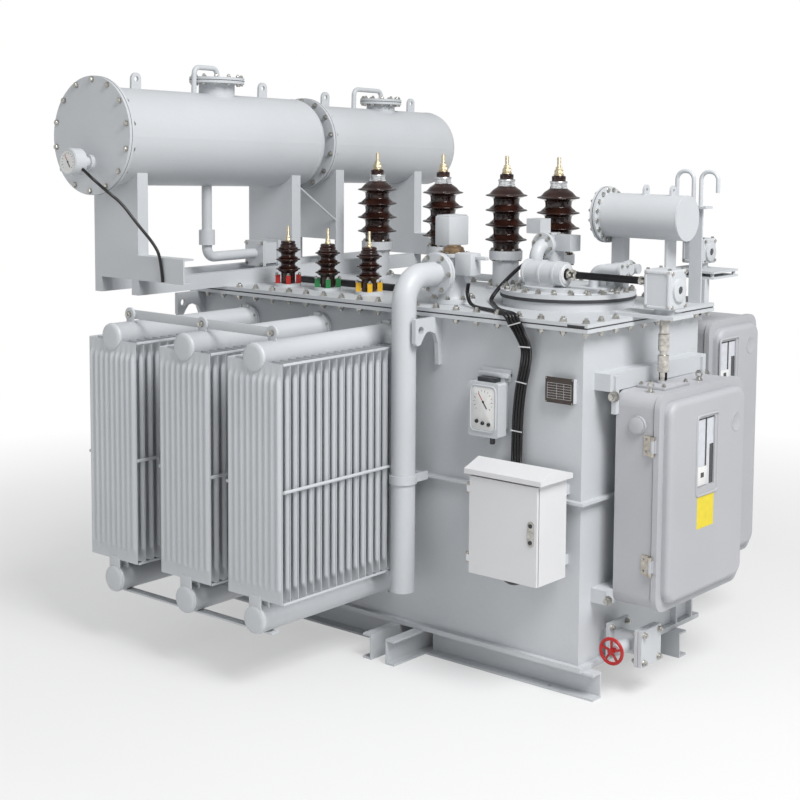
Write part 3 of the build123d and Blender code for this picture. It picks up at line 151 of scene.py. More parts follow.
def turned(profile, at=(0, 0, 0), axis=Z, sides=48):
    """Surface of revolution of (r, h) pairs: point = at + h along the axis + r towards angle t."""
    r, h = np.asarray(profile, float).T
    t = np.linspace(0, 2 * np.pi, sides, endpoint=False)[:, None]
    first, second = across(axis)
    ring = np.cos(t) * first + np.sin(t) * second
    points = np.asarray(at) + h[:, None, None] * unit(axis) + r[:, None, None] * ring
    return points.reshape(-1, 3), quads(len(r), sides)


def rod(at, axis, r, length, sides=24):
    """A plain cylinder."""
    return turned([(0, 0), (r, 0), (r, length), (0, length)], at, axis, sides)


def disc(at, axis, r, thick, edge=1.0, sides=48):
    """A turned plate with a small chamfer on both rims."""
    profile = [(0, 0), (r - edge, 0), (r, edge), (r, thick - edge), (r - edge, thick), (0, thick)]
    return turned(profile, at, axis, sides)


def hoop(at, axis, r, thick, sides=64, around=10):
    """A torus: a circle of radius thick carried round the axis at distance r."""
    s = np.linspace(0, 2 * np.pi, around + 1)
    return turned(np.column_stack([r + thick * np.cos(s), thick * np.sin(s)]), at, axis, sides)


def tube(path, radius, sides=12, up=(0.31, 0.23, 0.92)):
    """A round tube: point = path + r towards angle t in the plane square to the path's slope,
    with each end closed in its middle."""
    path = np.asarray(path, float)
    slope = unit(np.gradient(path, axis=0))
    first = unit(np.cross(slope, up))
    second = np.cross(slope, first)
    t = np.linspace(0, 2 * np.pi, sides, endpoint=False)[None, :, None]
    radius = np.broadcast_to(radius, len(path))[:, None, None]
    rings = path[:, None] + radius * (np.cos(t) * first[:, None] + np.sin(t) * second[:, None])
    ends = [np.repeat(path[i][None, None], sides, 1) for i in (0, -1)]
    rings = np.concatenate([ends[0], rings, ends[1]])
    return rings.reshape(-1, 3), quads(len(rings), sides)


def pressed(at, right, up, half, corner, profile, steps=6):
    """Rounded rectangles stacked along the normal: a pair (inset, height) draws the rectangle
    and its corner radius in by the inset, at that height, and both ends close in the middle."""
    right, up = unit(right), unit(up)
    normal = np.cross(right, up)
    inset, height = np.asarray(profile, float).T
    radius = np.maximum(corner - inset, 0.2)[:, None]
    inner_u = np.maximum(half[0] - inset, 0.2)[:, None] - radius
    inner_v = np.maximum(half[1] - inset, 0.2)[:, None] - radius
    turn = np.repeat(np.arange(4), steps) * np.pi / 2
    t = turn + np.tile(np.linspace(0, np.pi / 2, steps), 4)
    sign_u = np.sign(np.cos(turn + np.pi / 4))
    sign_v = np.sign(np.sin(turn + np.pi / 4))
    u = inner_u * sign_u + radius * np.cos(t)
    v = inner_v * sign_v + radius * np.sin(t)
    u, v = (np.vstack([0 * a[:1], a, 0 * a[:1]]) for a in (u, v))
    height = np.concatenate([height[:1], height, height[-1:]])
    points = (
        np.asarray(at, float) + u[..., None] * right + v[..., None] * up
        + height[:, None, None] * normal)
    return points.reshape(-1, 3), quads(len(height), len(t))


def block(low, high, edge=2.0, steps=3):
    """A box with rounded edges: its corner shrinks along a quarter circle at top and bottom."""
    low, high = np.asarray(low, float), np.asarray(high, float)
    middle = (low + high) / 2
    half = (high - low) / 2
    a = np.linspace(0, np.pi / 2, steps)
    rise = np.column_stack([edge * (1 - np.sin(a)), edge * (1 - np.cos(a))])
    fall = rise[::-1] * (1, -1) + (0, high[2] - low[2])
    at = (middle[0], middle[1], low[2])
    return pressed(at, X, Y, half[:2], edge, np.vstack([rise, fall]), steps)


def four(centre, right, up, half):
    """The corners of a rectangle with half its size given along two directions."""
    centre = np.asarray(centre, float)
    return [centre + i * half[0] * right + k * half[1] * up for i in (-1, 1) for k in (-1, 1)]


def circle_of(centre, axis, radius, count, start=0.0):
    """Points evenly round a circle square to an axis."""
    t = (np.arange(count) / count * 2 * np.pi + math.radians(start))[:, None]
    first, second = across(axis)
    return np.asarray(centre) + radius * (np.cos(t) * first + np.sin(t) * second)


BOLT_ROWS = np.array([
    (0.98, 0.0, 0), (0.98, 0.18, 0), (0.87, 0.18, 1), (0.87, 0.72, 1), (0.76, 0.84, 0),
])
STUD_ROWS = np.array([(0.48, 0.84, 0), (0.48, 1.3, 0)])
BOLT_SIDES = 12


def bolts(places, normal, size, stud=False):
    """Hexagon bolts on washers: point = place + size times (r towards angle t + h along the
    normal), where a hexagon's r at angle t is its flat's distance over the cosine from the flat."""
    places = np.atleast_2d(np.asarray(places, float))
    rows = np.vstack([BOLT_ROWS, STUD_ROWS]) if stud else BOLT_ROWS
    normal = np.broadcast_to(unit(normal), places.shape)
    first, second = across(normal)
    spin = np.random.default_rng(SEED).uniform(0, 2 * np.pi, (len(places), 1, 1, 1))
    t = (np.arange(BOLT_SIDES) * 2 * np.pi / BOLT_SIDES)[None, None, :, None]
    flat = np.where(np.arange(BOLT_SIDES) % 2, math.cos(math.pi / 6), 1.0)
    r = rows[:, 0:1] * np.where(rows[:, 2:3] > 0, flat, 1.0)
    h = rows[:, 1][None, :, None, None] * size
    r = r[None, :, :, None] * size
    ring = np.cos(t + spin) * first[:, None, None] + np.sin(t + spin) * second[:, None, None]
    points = places[:, None, None] + r * ring + h * normal[:, None, None]
    sides = quads(len(rows), BOLT_SIDES)
    fan = np.array([(0, i, i + 1, i + 2) for i in range(1, BOLT_SIDES - 2, 2)])
    lid = fan + (len(rows) - 1) * BOLT_SIDES
    one = np.vstack([sides, fan[:, ::-1], lid])
    step = len(rows) * BOLT_SIDES
    faces = one[None] + (np.arange(len(places)) * step)[:, None, None]
    return points.reshape(-1, 3), faces.reshape(-1, 4)


def on_drum(points):
    """Points of the drum's own frame, turned down towards the back and put in place."""
    x, y, z = np.asarray(points, float).T
    c, s = math.cos(DRUM_TILT), math.sin(DRUM_TILT)
    return np.column_stack([x, y * c + z * s, z * c - y * s]) + DRUM


def turn_drum(direction):
    """A direction of the drum's own frame in the object's frame."""
    return on_drum(np.atleast_2d(direction))[0] - DRUM


def clear_of(places, zones):
    """The places that lie in none of the (x0, x1, y0, y1) zones."""
    keep = np.ones(len(places), bool)
    for x0, x1, y0, y1 in zones:
        inside = (places[:, 0] > x0) & (places[:, 0] < x1)
        inside &= (places[:, 1] > y0) & (places[:, 1] < y1)
        keep &= ~inside
    return places[keep]


def kept(points):
    return points


def mirrored(points):
    return points * (1, -1, 1)


class Shape:
    """Surfaces in millimetres that become one mesh."""

    def __init__(self):
        self.points = []
        self.faces = []
        self.count = 0

    def add(self, surface, place=kept):
        points, faces = surface
        self.points.append(place(points))
        self.faces.append(faces + self.count)
        self.count += len(points)

    def bolt(self, places, normal, size, stud=False):
        self.add(bolts(places, normal, size, stud))

    def piece(self, name, finish, body="transformer", stands_for=(), slot=None, sharp=35, weld=True):
        points = np.vstack(self.points) * MM
        faces = np.vstack(self.faces)
        mesh = bpy.data.meshes.new(name)
        mesh.vertices.add(len(points))
        mesh.vertices.foreach_set("co", points.ravel())
        mesh.loops.add(faces.size)
        mesh.loops.foreach_set("vertex_index", faces.ravel().astype(np.int32))
        mesh.polygons.add(len(faces))
        mesh.polygons.foreach_set("loop_start", np.arange(0, faces.size, 4, dtype=np.int32))
        mesh.update(calc_edges=True)
        if weld:
            work = bmesh.new()
            work.from_mesh(mesh)
            bmesh.ops.remove_doubles(work, verts=work.verts, dist=1e-6)
            bmesh.ops.recalc_face_normals(work, faces=work.faces)
            work.to_mesh(mesh)
            work.free()
        mesh.shade_smooth()
        mesh.set_sharp_from_angle(angle=math.radians(sharp))
        mesh.materials.append(FINISHES[finish])
        thing = linked(name, mesh)
        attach(thing, body)
        slot or SLOTS.get(finish, finish)
        if stands_for:
            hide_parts(*stands_for)


# Finishes


class Wire:
    """A shader socket in plain arithmetic: each operator adds its Math node."""

    def __init__(self, finish, socket):
        self.finish = finish
        self.socket = socket

    def math(self, operation, *values):
        return self.finish.node("ShaderNodeMath", {"operation": operation}, values)[0]

    def __add__(self, other):
        return self.math("ADD", self, other)

    def __mul__(self, other):
        return self.math("MULTIPLY", self, other)

    __radd__ = __add__
    __rmul__ = __mul__

    def clamped(self, low, high):
        """0 below low, 1 above high and straight between them."""
        values = {"Value": self, "From Min": low, "From Max": high}
        return self.finish.node("ShaderNodeMapRange", {"clamp": True}, values)[0]


class Made:
    """The outputs of a node, by number or by name."""

    def __init__(self, finish, node):
        self.finish = finish
        self.outputs = node.outputs

    def __getitem__(self, key):
        return Wire(self.finish, self.outputs[key])


class Finish:
    """A material whose constants sit on the shader and whose patterns are linked to it."""

    def __init__(self, name, **constants):
        self.material = bpy.data.materials.new(name)
        self.material.use_nodes = True
        self.tree = self.material.node_tree
        self.shader = self.tree.nodes["Principled BSDF"]
        for socket, value in constants.items():
            self.shader.inputs[socket.replace("_", " ")].default_value = value

    def node(self, kind, settings=None, values=()):
        """Adds a node, sets its settings, then its sockets' values or links."""
        node = self.tree.nodes.new(kind)
        for key, value in (settings or {}).items():
            setattr(node, key, value)
        pairs = values.items() if isinstance(values, dict) else enumerate(values)
        for key, value in pairs:
            if isinstance(value, Wire):
                self.tree.links.new(value.socket, node.inputs[key])
            else:
                node.inputs[key].default_value = value
        return Made(self, node)

    def place(self):
        """Object coordinates, in metres in the object's frame."""
        return self.node("ShaderNodeTexCoord")["Object"]

    def noise(self, scale, detail=2.0, stretch=None):
        """Soft noise with a number of features to the metre, drawn out along an axis by a stretch."""
        where = self.place()
        if stretch:
            where = self.node("ShaderNodeMapping", {}, {"Vector": where, "Scale": stretch})[0]
        values = {"Vector": where, "Scale": scale, "Detail": detail}
        return self.node("ShaderNodeTexNoise", {}, values)["Fac"]

    def feed(self, socket, wire):
        self.tree.links.new(wire.socket, self.shader.inputs[socket])

    def colours(self, factor, first, second):
        """The base colour, between two colours."""
        values = {0: factor, 6: (*first, 1.0), 7: (*second, 1.0)}
        self.feed("Base Color", self.node("ShaderNodeMix", {"data_type": "RGBA"}, values)[2])

    def tones(self, cloud, colour, dark, bright):
        """The base colour, between two shades of one colour."""
        self.colours(cloud.clamped(0.3, 0.7), shaded(colour, dark), shaded(colour, bright))

    def rough(self, pattern, middle, spread):
        """Roughness that a pattern carries half the spread to both sides of the middle."""
        self.feed("Roughness", pattern * spread + (middle - spread / 2))

    def bump(self, height, strength, distance):
        values = {"Height": height, "Strength": strength, "Distance": distance}
        self.feed("Normal", self.node("ShaderNodeBump", {}, values)["Normal"])


def shaded(colour, factor):
    return tuple(min(channel * factor, 1.0) for channel in colour)


def paint(name, colour, rough=0.42, peel=0.05, grain=520.0, contrast=0.05):
    """Sprayed enamel: slow drifts of shade, small specks and an orange-peel surface."""
    finish = Finish(name, Metallic=0.0, Specular_IOR_Level=0.5)
    drift = finish.noise(1.7, 3.0)
    speck = finish.noise(90.0, 4.0)
    finish.tones(drift * 0.75 + speck * 0.25, colour, 1 - contrast, 1 + contrast)
    finish.rough(speck, rough, 0.12)
    finish.bump(finish.noise(grain, 2.0), peel, 0.0006)
    return finish.material


def metal(name, colour, rough, scratch=0.1, tone=0.12):
    """Bare or plated metal with a cloudy tone and fine marks."""
    finish = Finish(name, Metallic=1.0)
    finish.tones(finish.noise(60.0, 3.0), colour, 1 - tone, 1 + tone)
    marks = finish.noise(700.0, 3.0)
    finish.rough(marks, rough, 0.2)
    finish.bump(marks, scratch, 0.0002)
    return finish.material


def plastic(name, colour, rough=0.35, tone=0.08):
    """Moulded plastic or rubber with a faint grain."""
    finish = Finish(name, Metallic=0.0)
    finish.tones(finish.noise(45.0, 3.0), colour, 1 - tone, 1 + tone)
    grain = finish.noise(1500.0, 2.0)
    finish.rough(grain, rough, 0.14)
    finish.bump(grain, 0.06, 0.0003)
    return finish.material


def glaze(name, colour, light):
    """Brown glazed porcelain: the glaze thins to a lighter brown in soft patches."""
    finish = Finish(name, Metallic=0.0, Coat_Weight=0.3, Coat_Roughness=0.06, IOR=1.42)
    patch = finish.noise(14.0, 2.0, (1.0, 1.0, 2.0))
    finish.colours(patch.clamped(0.45, 0.8), colour, light)
    finish.rough(finish.noise(60.0, 2.0), 0.16, 0.08)
    finish.bump(finish.noise(9.0, 1.0), 0.01, 0.001)
    return finish.material


def threaded(name, colour, rough, pitch):
    """Brass whose upright rods carry a fine thread, drawn as a wave of the height."""
    finish = Finish(name, Metallic=1.0)
    cloud = finish.noise(90.0, 3.0)
    finish.tones(cloud, colour, 0.82, 1.1)
    finish.rough(cloud, rough, 0.16)
    height = finish.node("ShaderNodeSeparateXYZ", {}, {"Vector": finish.place()})["Z"]
    turns = height * (2 * math.pi / pitch)
    finish.bump(turns.math("SINE", turns), 0.5, 0.0005)
    return finish.material


# Colour, roughness, strength of the scratches and spread of the tone
METALS = {
    "bronze": ((0.34, 0.24, 0.15), 0.42, 0.2),
    "hinge_steel": ((0.50, 0.46, 0.40), 0.38, 0.15, 0.2),
    "cap_metal": ((0.78, 0.79, 0.80), 0.34, 0.15),
    "zinc": ((0.50, 0.49, 0.46), 0.34, 0.15, 0.28),
    "shaft_steel": ((0.66, 0.63, 0.58), 0.3, 0.12, 0.2),
    "shaft_black": ((0.035, 0.035, 0.037), 0.42, 0.1),
}

# Colour, roughness and spread of the tone
PLASTICS = {
    "gasket_rubber": ((0.045, 0.046, 0.05), 0.62),
    "cable_black": ((0.007, 0.007, 0.008), 0.3),
    "red_plastic": ((0.42, 0.02, 0.015),),
    "green_plastic": ((0.02, 0.20, 0.06),),
    "yellow_plastic": ((0.72, 0.42, 0.02),),
    "dial_white": ((0.78, 0.78, 0.76), 0.3, 0.03),
    "plate_brown": ((0.045, 0.032, 0.026), 0.34, 0.2),
    "frame_pale": ((0.70, 0.70, 0.71), 0.4, 0.04),
    "window_dark": ((0.03, 0.032, 0.036), 0.2, 0.3),
    "window_pale": ((0.62, 0.64, 0.68), 0.16, 0.06),
    "ink": ((0.02, 0.02, 0.02), 0.5),
    "hand_red": ((0.45, 0.02, 0.02), 0.4),
}

FINISHES = {}

# Another finish name for some finishes, which Shape.piece looks up and leaves unused
SLOTS = {
    "zinc": "shaft_steel",
    "window_dark": "shaft_black",
    "window_pale": "cabinet_paint",
    "ink": "gasket_rubber",
    "hand_red": "red_plastic",
    "label_yellow": "yellow_plastic",
}


def make_finishes(look):
    """One material for each finish, the large ones in the chosen colours."""
    FINISHES.update({
        "grey_paint": paint("grey_paint", look.tank_grey),
        "box_paint": paint("box_paint", look.box_white, 0.4, 0.04, 800.0, 0.025),
        "cabinet_paint": paint("cabinet_paint", look.cabinet_grey, 0.48, 0.16, 340.0, 0.05),
        "red_paint": paint("red_paint", (0.44, 0.012, 0.012), 0.34, 0.08, 420.0, 0.1),
        "brown_glaze": glaze("brown_glaze", look.glaze_brown, look.glaze_light),
        "brass": threaded("brass", (0.80, 0.70, 0.50), 0.36, 0.003),
        "label_yellow": plastic("label_yellow", look.label_yellow, 0.42, 0.04),
    })
    for make, table in ((metal, METALS), (plastic, PLASTICS)):
        for name, row in table.items():
            FINISHES[name] = make(name, *row)


NODES_OF = {
    "gasket_rubber": ("gaskets",),
    "brown_glaze": ("hv_insulators", "lv_insulators"),
    "cap_metal": ("hv_caps",),
    "brass": ("terminals",),
    "dial_white": ("dial_faces",),
    "cable_black": ("wiring",),
    "shaft_black": ("drive_shaft_top",),
    "shaft_steel": ("drive_shaft_down", "drive_shaft_far"),
    "bronze": ("relief_cap",),
    "plate_brown": ("nameplate",),
    "box_paint": ("control_box", "control_roof", "control_door"),
    "hinge_steel": ("door_hinges",),
    "red_paint": ("drain_handwheel",),
    "cabinet_paint": ("motor_cabinets", "shaft_bosses", "near_cabinet_door", "far_cabinet_door"),
    "red_plastic": ("clamps_red",),
    "green_plastic": ("clamps_green",),
    "yellow_plastic": ("clamps_yellow",),
}
NODE_FINISH = {node: finish for finish, nodes in NODES_OF.items() for node in nodes}


def colour_choice(name, description, default):
    return bpy.props.FloatVectorProperty(
        name=name, description=description, default=default, min=0.0, max=1.0, size=3, subtype="COLOR")


def lamp_choice(name, description, default):
    return bpy.props.FloatProperty(
        name=name, description=description, default=default, min=0.0, max=3000.0, unit="POWER")


def length_choice(name, description, default, low, high):
    return bpy.props.FloatProperty(
        name=name, description=description, default=default, min=low, max=high, unit="LENGTH")


class TransformerLook(bpy.types.PropertyGroup):
    """Sizes and colours that a user may change."""

    tank_grey: colour_choice(
        "Tank grey", "Enamel of the tank, drums and radiators", (0.585, 0.605, 0.625))
    cabinet_grey: colour_choice(
        "Cabinet grey", "Enamel of the cast motor cabinets", (0.465, 0.470, 0.492))
    box_white: colour_choice("Box white", "Powder coat of the control box", (0.720, 0.720, 0.730))
    glaze_brown: colour_choice("Glaze brown", "Deep colour of the porcelain", (0.020, 0.007, 0.005))
    glaze_light: colour_choice("Glaze light", "Colour where the glaze is thin", (0.052, 0.020, 0.013))
    label_yellow: colour_choice(
        "Label yellow", "Blank sticker on the near cabinet", (0.800, 0.640, 0.020))
    cover_bolt: length_choice(
        "Cover bolt", "Thread size of the tank cover's bolts", 0.016, 0.006, 0.03)
    bolt_pitch: length_choice(
        "Bolt pitch", "Distance between the tank cover's bolts", 0.109, 0.05, 0.3)
    flutes: bpy.props.IntProperty(
        name="Flutes", description="Upright channels in one radiator panel",
        default=9, min=3, max=12)
    key_power: lamp_choice("Key lamp", "Power of the large lamp at the right", 560.0)
    fill_power: lamp_choice("Fill lamp", "Power of the lamp at the left front", 30.0)
    sky_level: bpy.props.FloatProperty(
        name="Sky level", description="Strength of the even studio light",
        default=0.44, min=0.0, max=2.0)


class TRANSFORMER_OT_stage(bpy.types.Operator):
    """Puts up the floor, the plain studio light and the camera"""

    bl_idname = "transformer.stage"
    bl_label = "Stage"

    def execute(self, context):
        look = context.scene.transformer_look
        make_finishes(look)
        make_floor()
        make_world(look)
        make_lamp("key", (5.4, -2.0, 6.8), (0.3, 0.0, 1.0), 3.4, look.key_power)
        make_lamp("fill", (-3.4, -6.0, 3.2), (0.0, 0.0, 1.1), 4.0, look.fill_power)
        make_camera()
        return {"FINISHED"}


FLOOR_REACH = 60000.0


def make_floor():
    """A flat square far larger than the view: plain white to the camera, mirrors and glass, but
    with the object's shadow, and a grey surface to all other light."""
    grid = np.array([(-1, -1, 0), (1, -1, 0), (1, 1, 0), (-1, 1, 0)]) * FLOOR_REACH
    mesh = bpy.data.meshes.new("floor")
    mesh.from_pydata((grid * MM).tolist(), [], [(0, 1, 2, 3)])
    finish = Finish("floor", Roughness=0.9, Base_Color=(0.8, 0.8, 0.8, 1.0), Specular_IOR_Level=0.0)
    away = finish.node("ShaderNodeVectorMath", {"operation": "LENGTH"}, {0: finish.place()})["Value"]
    path = finish.node("ShaderNodeLightPath")
    seen = path["Is Camera Ray"] + path["Is Glossy Ray"] + path["Is Transmission Ray"]
    white = finish.node("ShaderNodeEmission", {}, {"Color": (1, 1, 1, 1), "Strength": 1.0})[0]
    share = seen.clamped(0.0, 1.0) * (away.clamped(2.2, 5.0) * 0.56 + 0.44)
    lit = Wire(finish, finish.shader.outputs[0])
    mixed = finish.node("ShaderNodeMixShader", {}, (share, lit, white))[0]
    finish.tree.links.new(mixed.socket, finish.tree.nodes["Material Output"].inputs["Surface"])
    mesh.materials.append(finish.material)
    linked("floor", mesh)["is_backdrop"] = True


def linked(name, data):
    """A new object of the scene that shows the data."""
    thing = bpy.data.objects.new(name, data)
    bpy.context.scene.collection.objects.link(thing)
    return thing


def make_world(look):
    """An even grey sky for the light, and plain white where it is seen."""
    world = bpy.data.worlds.new("studio")
    world.use_nodes = True
    tree = world.node_tree
    sky = tree.nodes["Background"]
    sky.inputs["Color"].default_value = (0.97, 0.985, 1.0, 1.0)
    sky.inputs["Strength"].default_value = look.sky_level
    white = tree.nodes.new("ShaderNodeBackground")
    white.inputs["Color"].default_value = (1.0, 1.0, 1.0, 1.0)
    path = tree.nodes.new("ShaderNodeLightPath")
    mixer = tree.nodes.new("ShaderNodeMixShader")
    for i, socket in enumerate((path.outputs["Is Camera Ray"], sky.outputs[0], white.outputs[0])):
        tree.links.new(socket, mixer.inputs[i])
    tree.links.new(mixer.outputs[0], tree.nodes["World Output"].inputs["Surface"])
    bpy.context.scene.world = world


def make_lamp(name, at, target, size, power):
    """A square soft lamp that faces its target."""
    lamp = bpy.data.lights.new(name, "AREA")
    lamp.shape = "SQUARE"
    lamp.size = size
    lamp.energy = power
    thing = linked(name, lamp)
    thing.location = at
    thing.rotation_euler = (Vector(target) - Vector(at)).to_track_quat("-Z", "Y").to_euler()
    thing.visible_camera = False


PICTURE = 800
FOCUS = 1561.93
CENTRE = (412.6, 273.3)
EYE = (4.4727, -5.5619, 2.3149)
YAW, PITCH, ROLL = (math.radians(angle) for angle in (39.741, 5.670, 0.387))


def make_camera():
    """The camera of the picture: 39.7 degrees round from the front and 5.7 degrees down. Its focal
    length and the foot of its axis are in pixels of an 800-pixel picture."""
    level = Vector((math.cos(YAW), math.sin(YAW), 0.0))
    ahead = Vector((-math.sin(YAW), math.cos(YAW), 0.0))
    forward = ahead * math.cos(PITCH) - Vector(Z) * math.sin(PITCH)
    right = level * math.cos(ROLL) + level.cross(forward) * math.sin(ROLL)
    camera = bpy.data.cameras.new("camera")
    camera.sensor_width = 36.0
    camera.lens = FOCUS / PICTURE * camera.sensor_width
    camera.shift_x = 0.5 - CENTRE[0] / PICTURE
    camera.shift_y = CENTRE[1] / PICTURE - 0.5
    camera.clip_end = 200.0
    thing = linked("camera", camera)
    place = Matrix((right, right.cross(forward), -forward)).transposed().to_4x4()
    place.translation = Vector(EYE)
    thing.matrix_world = place
    bpy.context.scene.camera = thing
    bpy.context.scene.view_settings.view_transform = "Standard"


class TRANSFORMER_OT_node_finishes(bpy.types.Operator):
    """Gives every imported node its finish"""

    bl_idname = "transformer.node_finishes"
    bl_label = "Node finishes"

    def execute(self, context):
        for name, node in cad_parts.items():
            node.data.materials.clear()
            node.data.materials.append(FINISHES[NODE_FINISH.get(name, "grey_paint")])
        return {"FINISHED"}


# Radiators

PANEL_HALF = 153.0
PANEL_T = 25.0
PANEL_COUNT = 17
PANEL_STEP = 45.0
PANEL_FIRST = 84.0
PANEL_LOW = 395.0
PANEL_HIGH = 1358.0
HEADER_LOW = 306.0
HEADER_HIGH = 1372.0
HEADER_R = 57.0
HEADER_L = 830.0


def panel(x, y, flutes):
    """A closed pressed panel: half its thickness at (u, z) is a seam plus the channel depth, which
    is a raised cosine across the width, times a smooth step in from every edge."""
    per_side = flutes * 6 + 1
    ease = lambda a: a * a * (3 - 2 * a)
    u = np.linspace(-1, 1, per_side)
    z = np.array([0, 4, 44, 54, 66])
    z = np.concatenate([PANEL_LOW + z, PANEL_HIGH - z[::-1]])
    edge_u = np.clip((1 - np.abs(u)) * PANEL_HALF / 13, 0, 1)
    edge_z = np.clip((np.minimum(z - PANEL_LOW, PANEL_HIGH - z) - 42) / 24, 0, 1)
    channel = 0.06 + 0.94 * ease(0.5 - 0.5 * np.cos((u + 1) * np.pi * flutes))
    seam = 1.2
    depth = seam + (PANEL_T / 2 - seam) * ease(edge_z)[:, None] * (ease(edge_u) * channel)[None]
    px = np.broadcast_to(x + u * PANEL_HALF, depth.shape)
    pz = np.broadcast_to(z[:, None], depth.shape)
    front = np.stack([px, y - depth, pz], -1)
    back = np.stack([px, y + depth, pz], -1)[:, ::-1]
    rings = np.concatenate([front, back], 1)
    middle = rings.mean(1, keepdims=True)
    lids = [np.repeat(middle[i][None], rings.shape[1], 1) for i in (0, -1)]
    rings = np.concatenate([lids[0], rings, lids[1]])
    return rings.reshape(-1, 3), quads(len(rings), rings.shape[1])


def header(x, z):
    """A pipe with a welded dished end and a bolted flange at the tank."""
    end = HEADER_L
    profile = [
        (0, 0), (72, 0), (73, 1.5), (73, 9), (71, 11), (61, 11), (61, 13), (71, 13), (73, 15),
        (73, 21), (70, 23), (62, 24), (HEADER_R, 30),
        (HEADER_R, end - 20), (HEADER_R + 1.5, end - 18), (HEADER_R + 1.5, end - 15),
        (HEADER_R, end - 13), (HEADER_R - 1, end - 6), (HEADER_R - 6, end - 2),
        (HEADER_R - 16, end - 0.6), (0, end),
    ]
    return turned(profile, (x, FRONT, z), -Y, 56)


def neck(x, y):
    """The flattened pipe from a panel down to its header."""
    return block((x - 34, y - 5, HEADER_LOW + 45), (x + 34, y + 5, PANEL_LOW + 14), 4.8, 4)


HEADER_RING = 67
HEADER_BOLTS = 8
SIDES = (("radiators_front", kept, -Y), ("radiators_back", mirrored, Y))


class TRANSFORMER_OT_radiators(bpy.types.Operator):
    """Makes the panel radiators on both sides, with their headers"""

    bl_idname = "transformer.radiators"
    bl_label = "Radiators"

    def execute(self, context):
        flutes = context.scene.transformer_look.flutes
        for name, place, out in SIDES:
            bank, screws = Shape(), Shape()
            for x in RADIATOR_X:
                for z in (HEADER_LOW, HEADER_HIGH):
                    bank.add(header(x, z), place)
                    holes = circle_of((x, FRONT - 23, z), -Y, HEADER_RING, HEADER_BOLTS, 22.5)
                    screws.bolt(place(holes), out, 6)
                for i in range(PANEL_COUNT):
                    y = FRONT - PANEL_FIRST - i * PANEL_STEP - PANEL_T / 2
                    bank.add(panel(x, y, flutes), place)
                    bank.add(neck(x, y), place)
            bank.piece(name + "_dressed", "grey_paint", stands_for=(name,), sharp=40)
            screws.piece(name + "_flange_bolts", "zinc", weld=False)
        return {"FINISHED"}


TIE_Y = FRONT - 715.0
TIE_Z = HEADER_HIGH + 87.0
ROD_Z = 850.0
BANK_NEAR = FRONT - PANEL_FIRST
BANK_FAR = BANK_NEAR - (PANEL_COUNT - 1) * PANEL_STEP - 12


class TRANSFORMER_OT_tie_bars(bpy.types.Operator):
    """Ties the radiators: an eye on each upper header, flat bars, and rods along their flanks"""

    bl_idname = "transformer.tie_bars"
    bl_label = "Tie bars"

    def execute(self, context):
        bars, screws = Shape(), Shape()
        first, last = RADIATOR_X[0], RADIATOR_X[-1]
        foot = HEADER_HIGH + HEADER_R - 6
        low = HEADER_LOW - HEADER_R
        for _, place, out in SIDES:
            for x in RADIATOR_X:
                bars.add(block((x - 22, TIE_Y - 4.5, foot), (x + 22, TIE_Y + 4.5, TIE_Z), 2), place)
                eye = (x, TIE_Y - 6, TIE_Z)
                bars.add(turned([(0, 0), (28, 0), (30, 1.5), (30, 10.5), (28, 12), (0, 12)],
                                eye, Y, 40), place)
                screws.bolt(place(np.array([eye])), out, 15, True)
                for flank in (-1, 1):
                    side = x + flank * (PANEL_HALF + 7)
                    bars.add(rod((side, BANK_FAR, ROD_Z), Y, 7, FRONT - 70 - BANK_FAR, 16), place)
                    edge = x + flank * (PANEL_HALF + 1.5)
                    for z in (PANEL_LOW - 2, PANEL_HIGH - 8):
                        bars.add(block((edge - 2.5, BANK_FAR + 3, z),
                                       (edge + 2.5, BANK_NEAR + 6, z + 10), 1), place)
            bars.add(block((first - 24, TIE_Y + 5.5, TIE_Z - 20),
                           (last + 18, TIE_Y + 12, TIE_Z + 20), 1.5), place)
            bars.add(block((first - 48, FRONT - 770, low - 8),
                           (last + 48, FRONT - 730, low + 0.5), 1.5), place)
        bars.piece("tie_bars_dressed", "grey_paint", stands_for=("tie_bars",))
        screws.piece("tie_bar_bolts", "zinc", weld=False)
        return {"FINISHED"}


# Bushings

TALL_FOOT = TOP + 180
TALL_TOP = TALL_FOOT + 358
SHORT_FOOT = TOP + 14


def porcelain(x, y, z, sheds, first, pitch, core, rim, shoulder, height):
    """A turned body through a smooth line: under each shed it flares out sharply, and above it the
    line falls back to the core in a hollow curve."""
    line = [(core * 0.97, 2), (core, 8), (core, first - 22)]
    for i in range(sheds):
        base = first + i * pitch
        line += [
            (core + 3, base - 14), (core + 12, base - 8), (rim - 8, base - 2), (rim - 1, base),
            (rim, base + 2.5), (rim - 4, base + 5.5), (rim - 16, base + 9),
            (core + 14, base + pitch * 0.24),
        ]
        if i < sheds - 1:
            line += [(core + 4, base + pitch * 0.36), (core, base + pitch * 0.48)]
    last = first + (sheds - 1) * pitch
    line += [
        (core + 4, last + pitch * 0.40), (shoulder + 14, last + pitch * 0.58),
        (shoulder + 4, last + pitch * 0.72), (shoulder, last + pitch * 0.85),
        (shoulder, height - 8), (shoulder - 2, height - 1),
    ]
    profile = np.vstack([(0, 0), (core * 0.97, 0), flowing(line, 4), (0, height)])
    return turned(profile, (x, y, z), Z, 56)


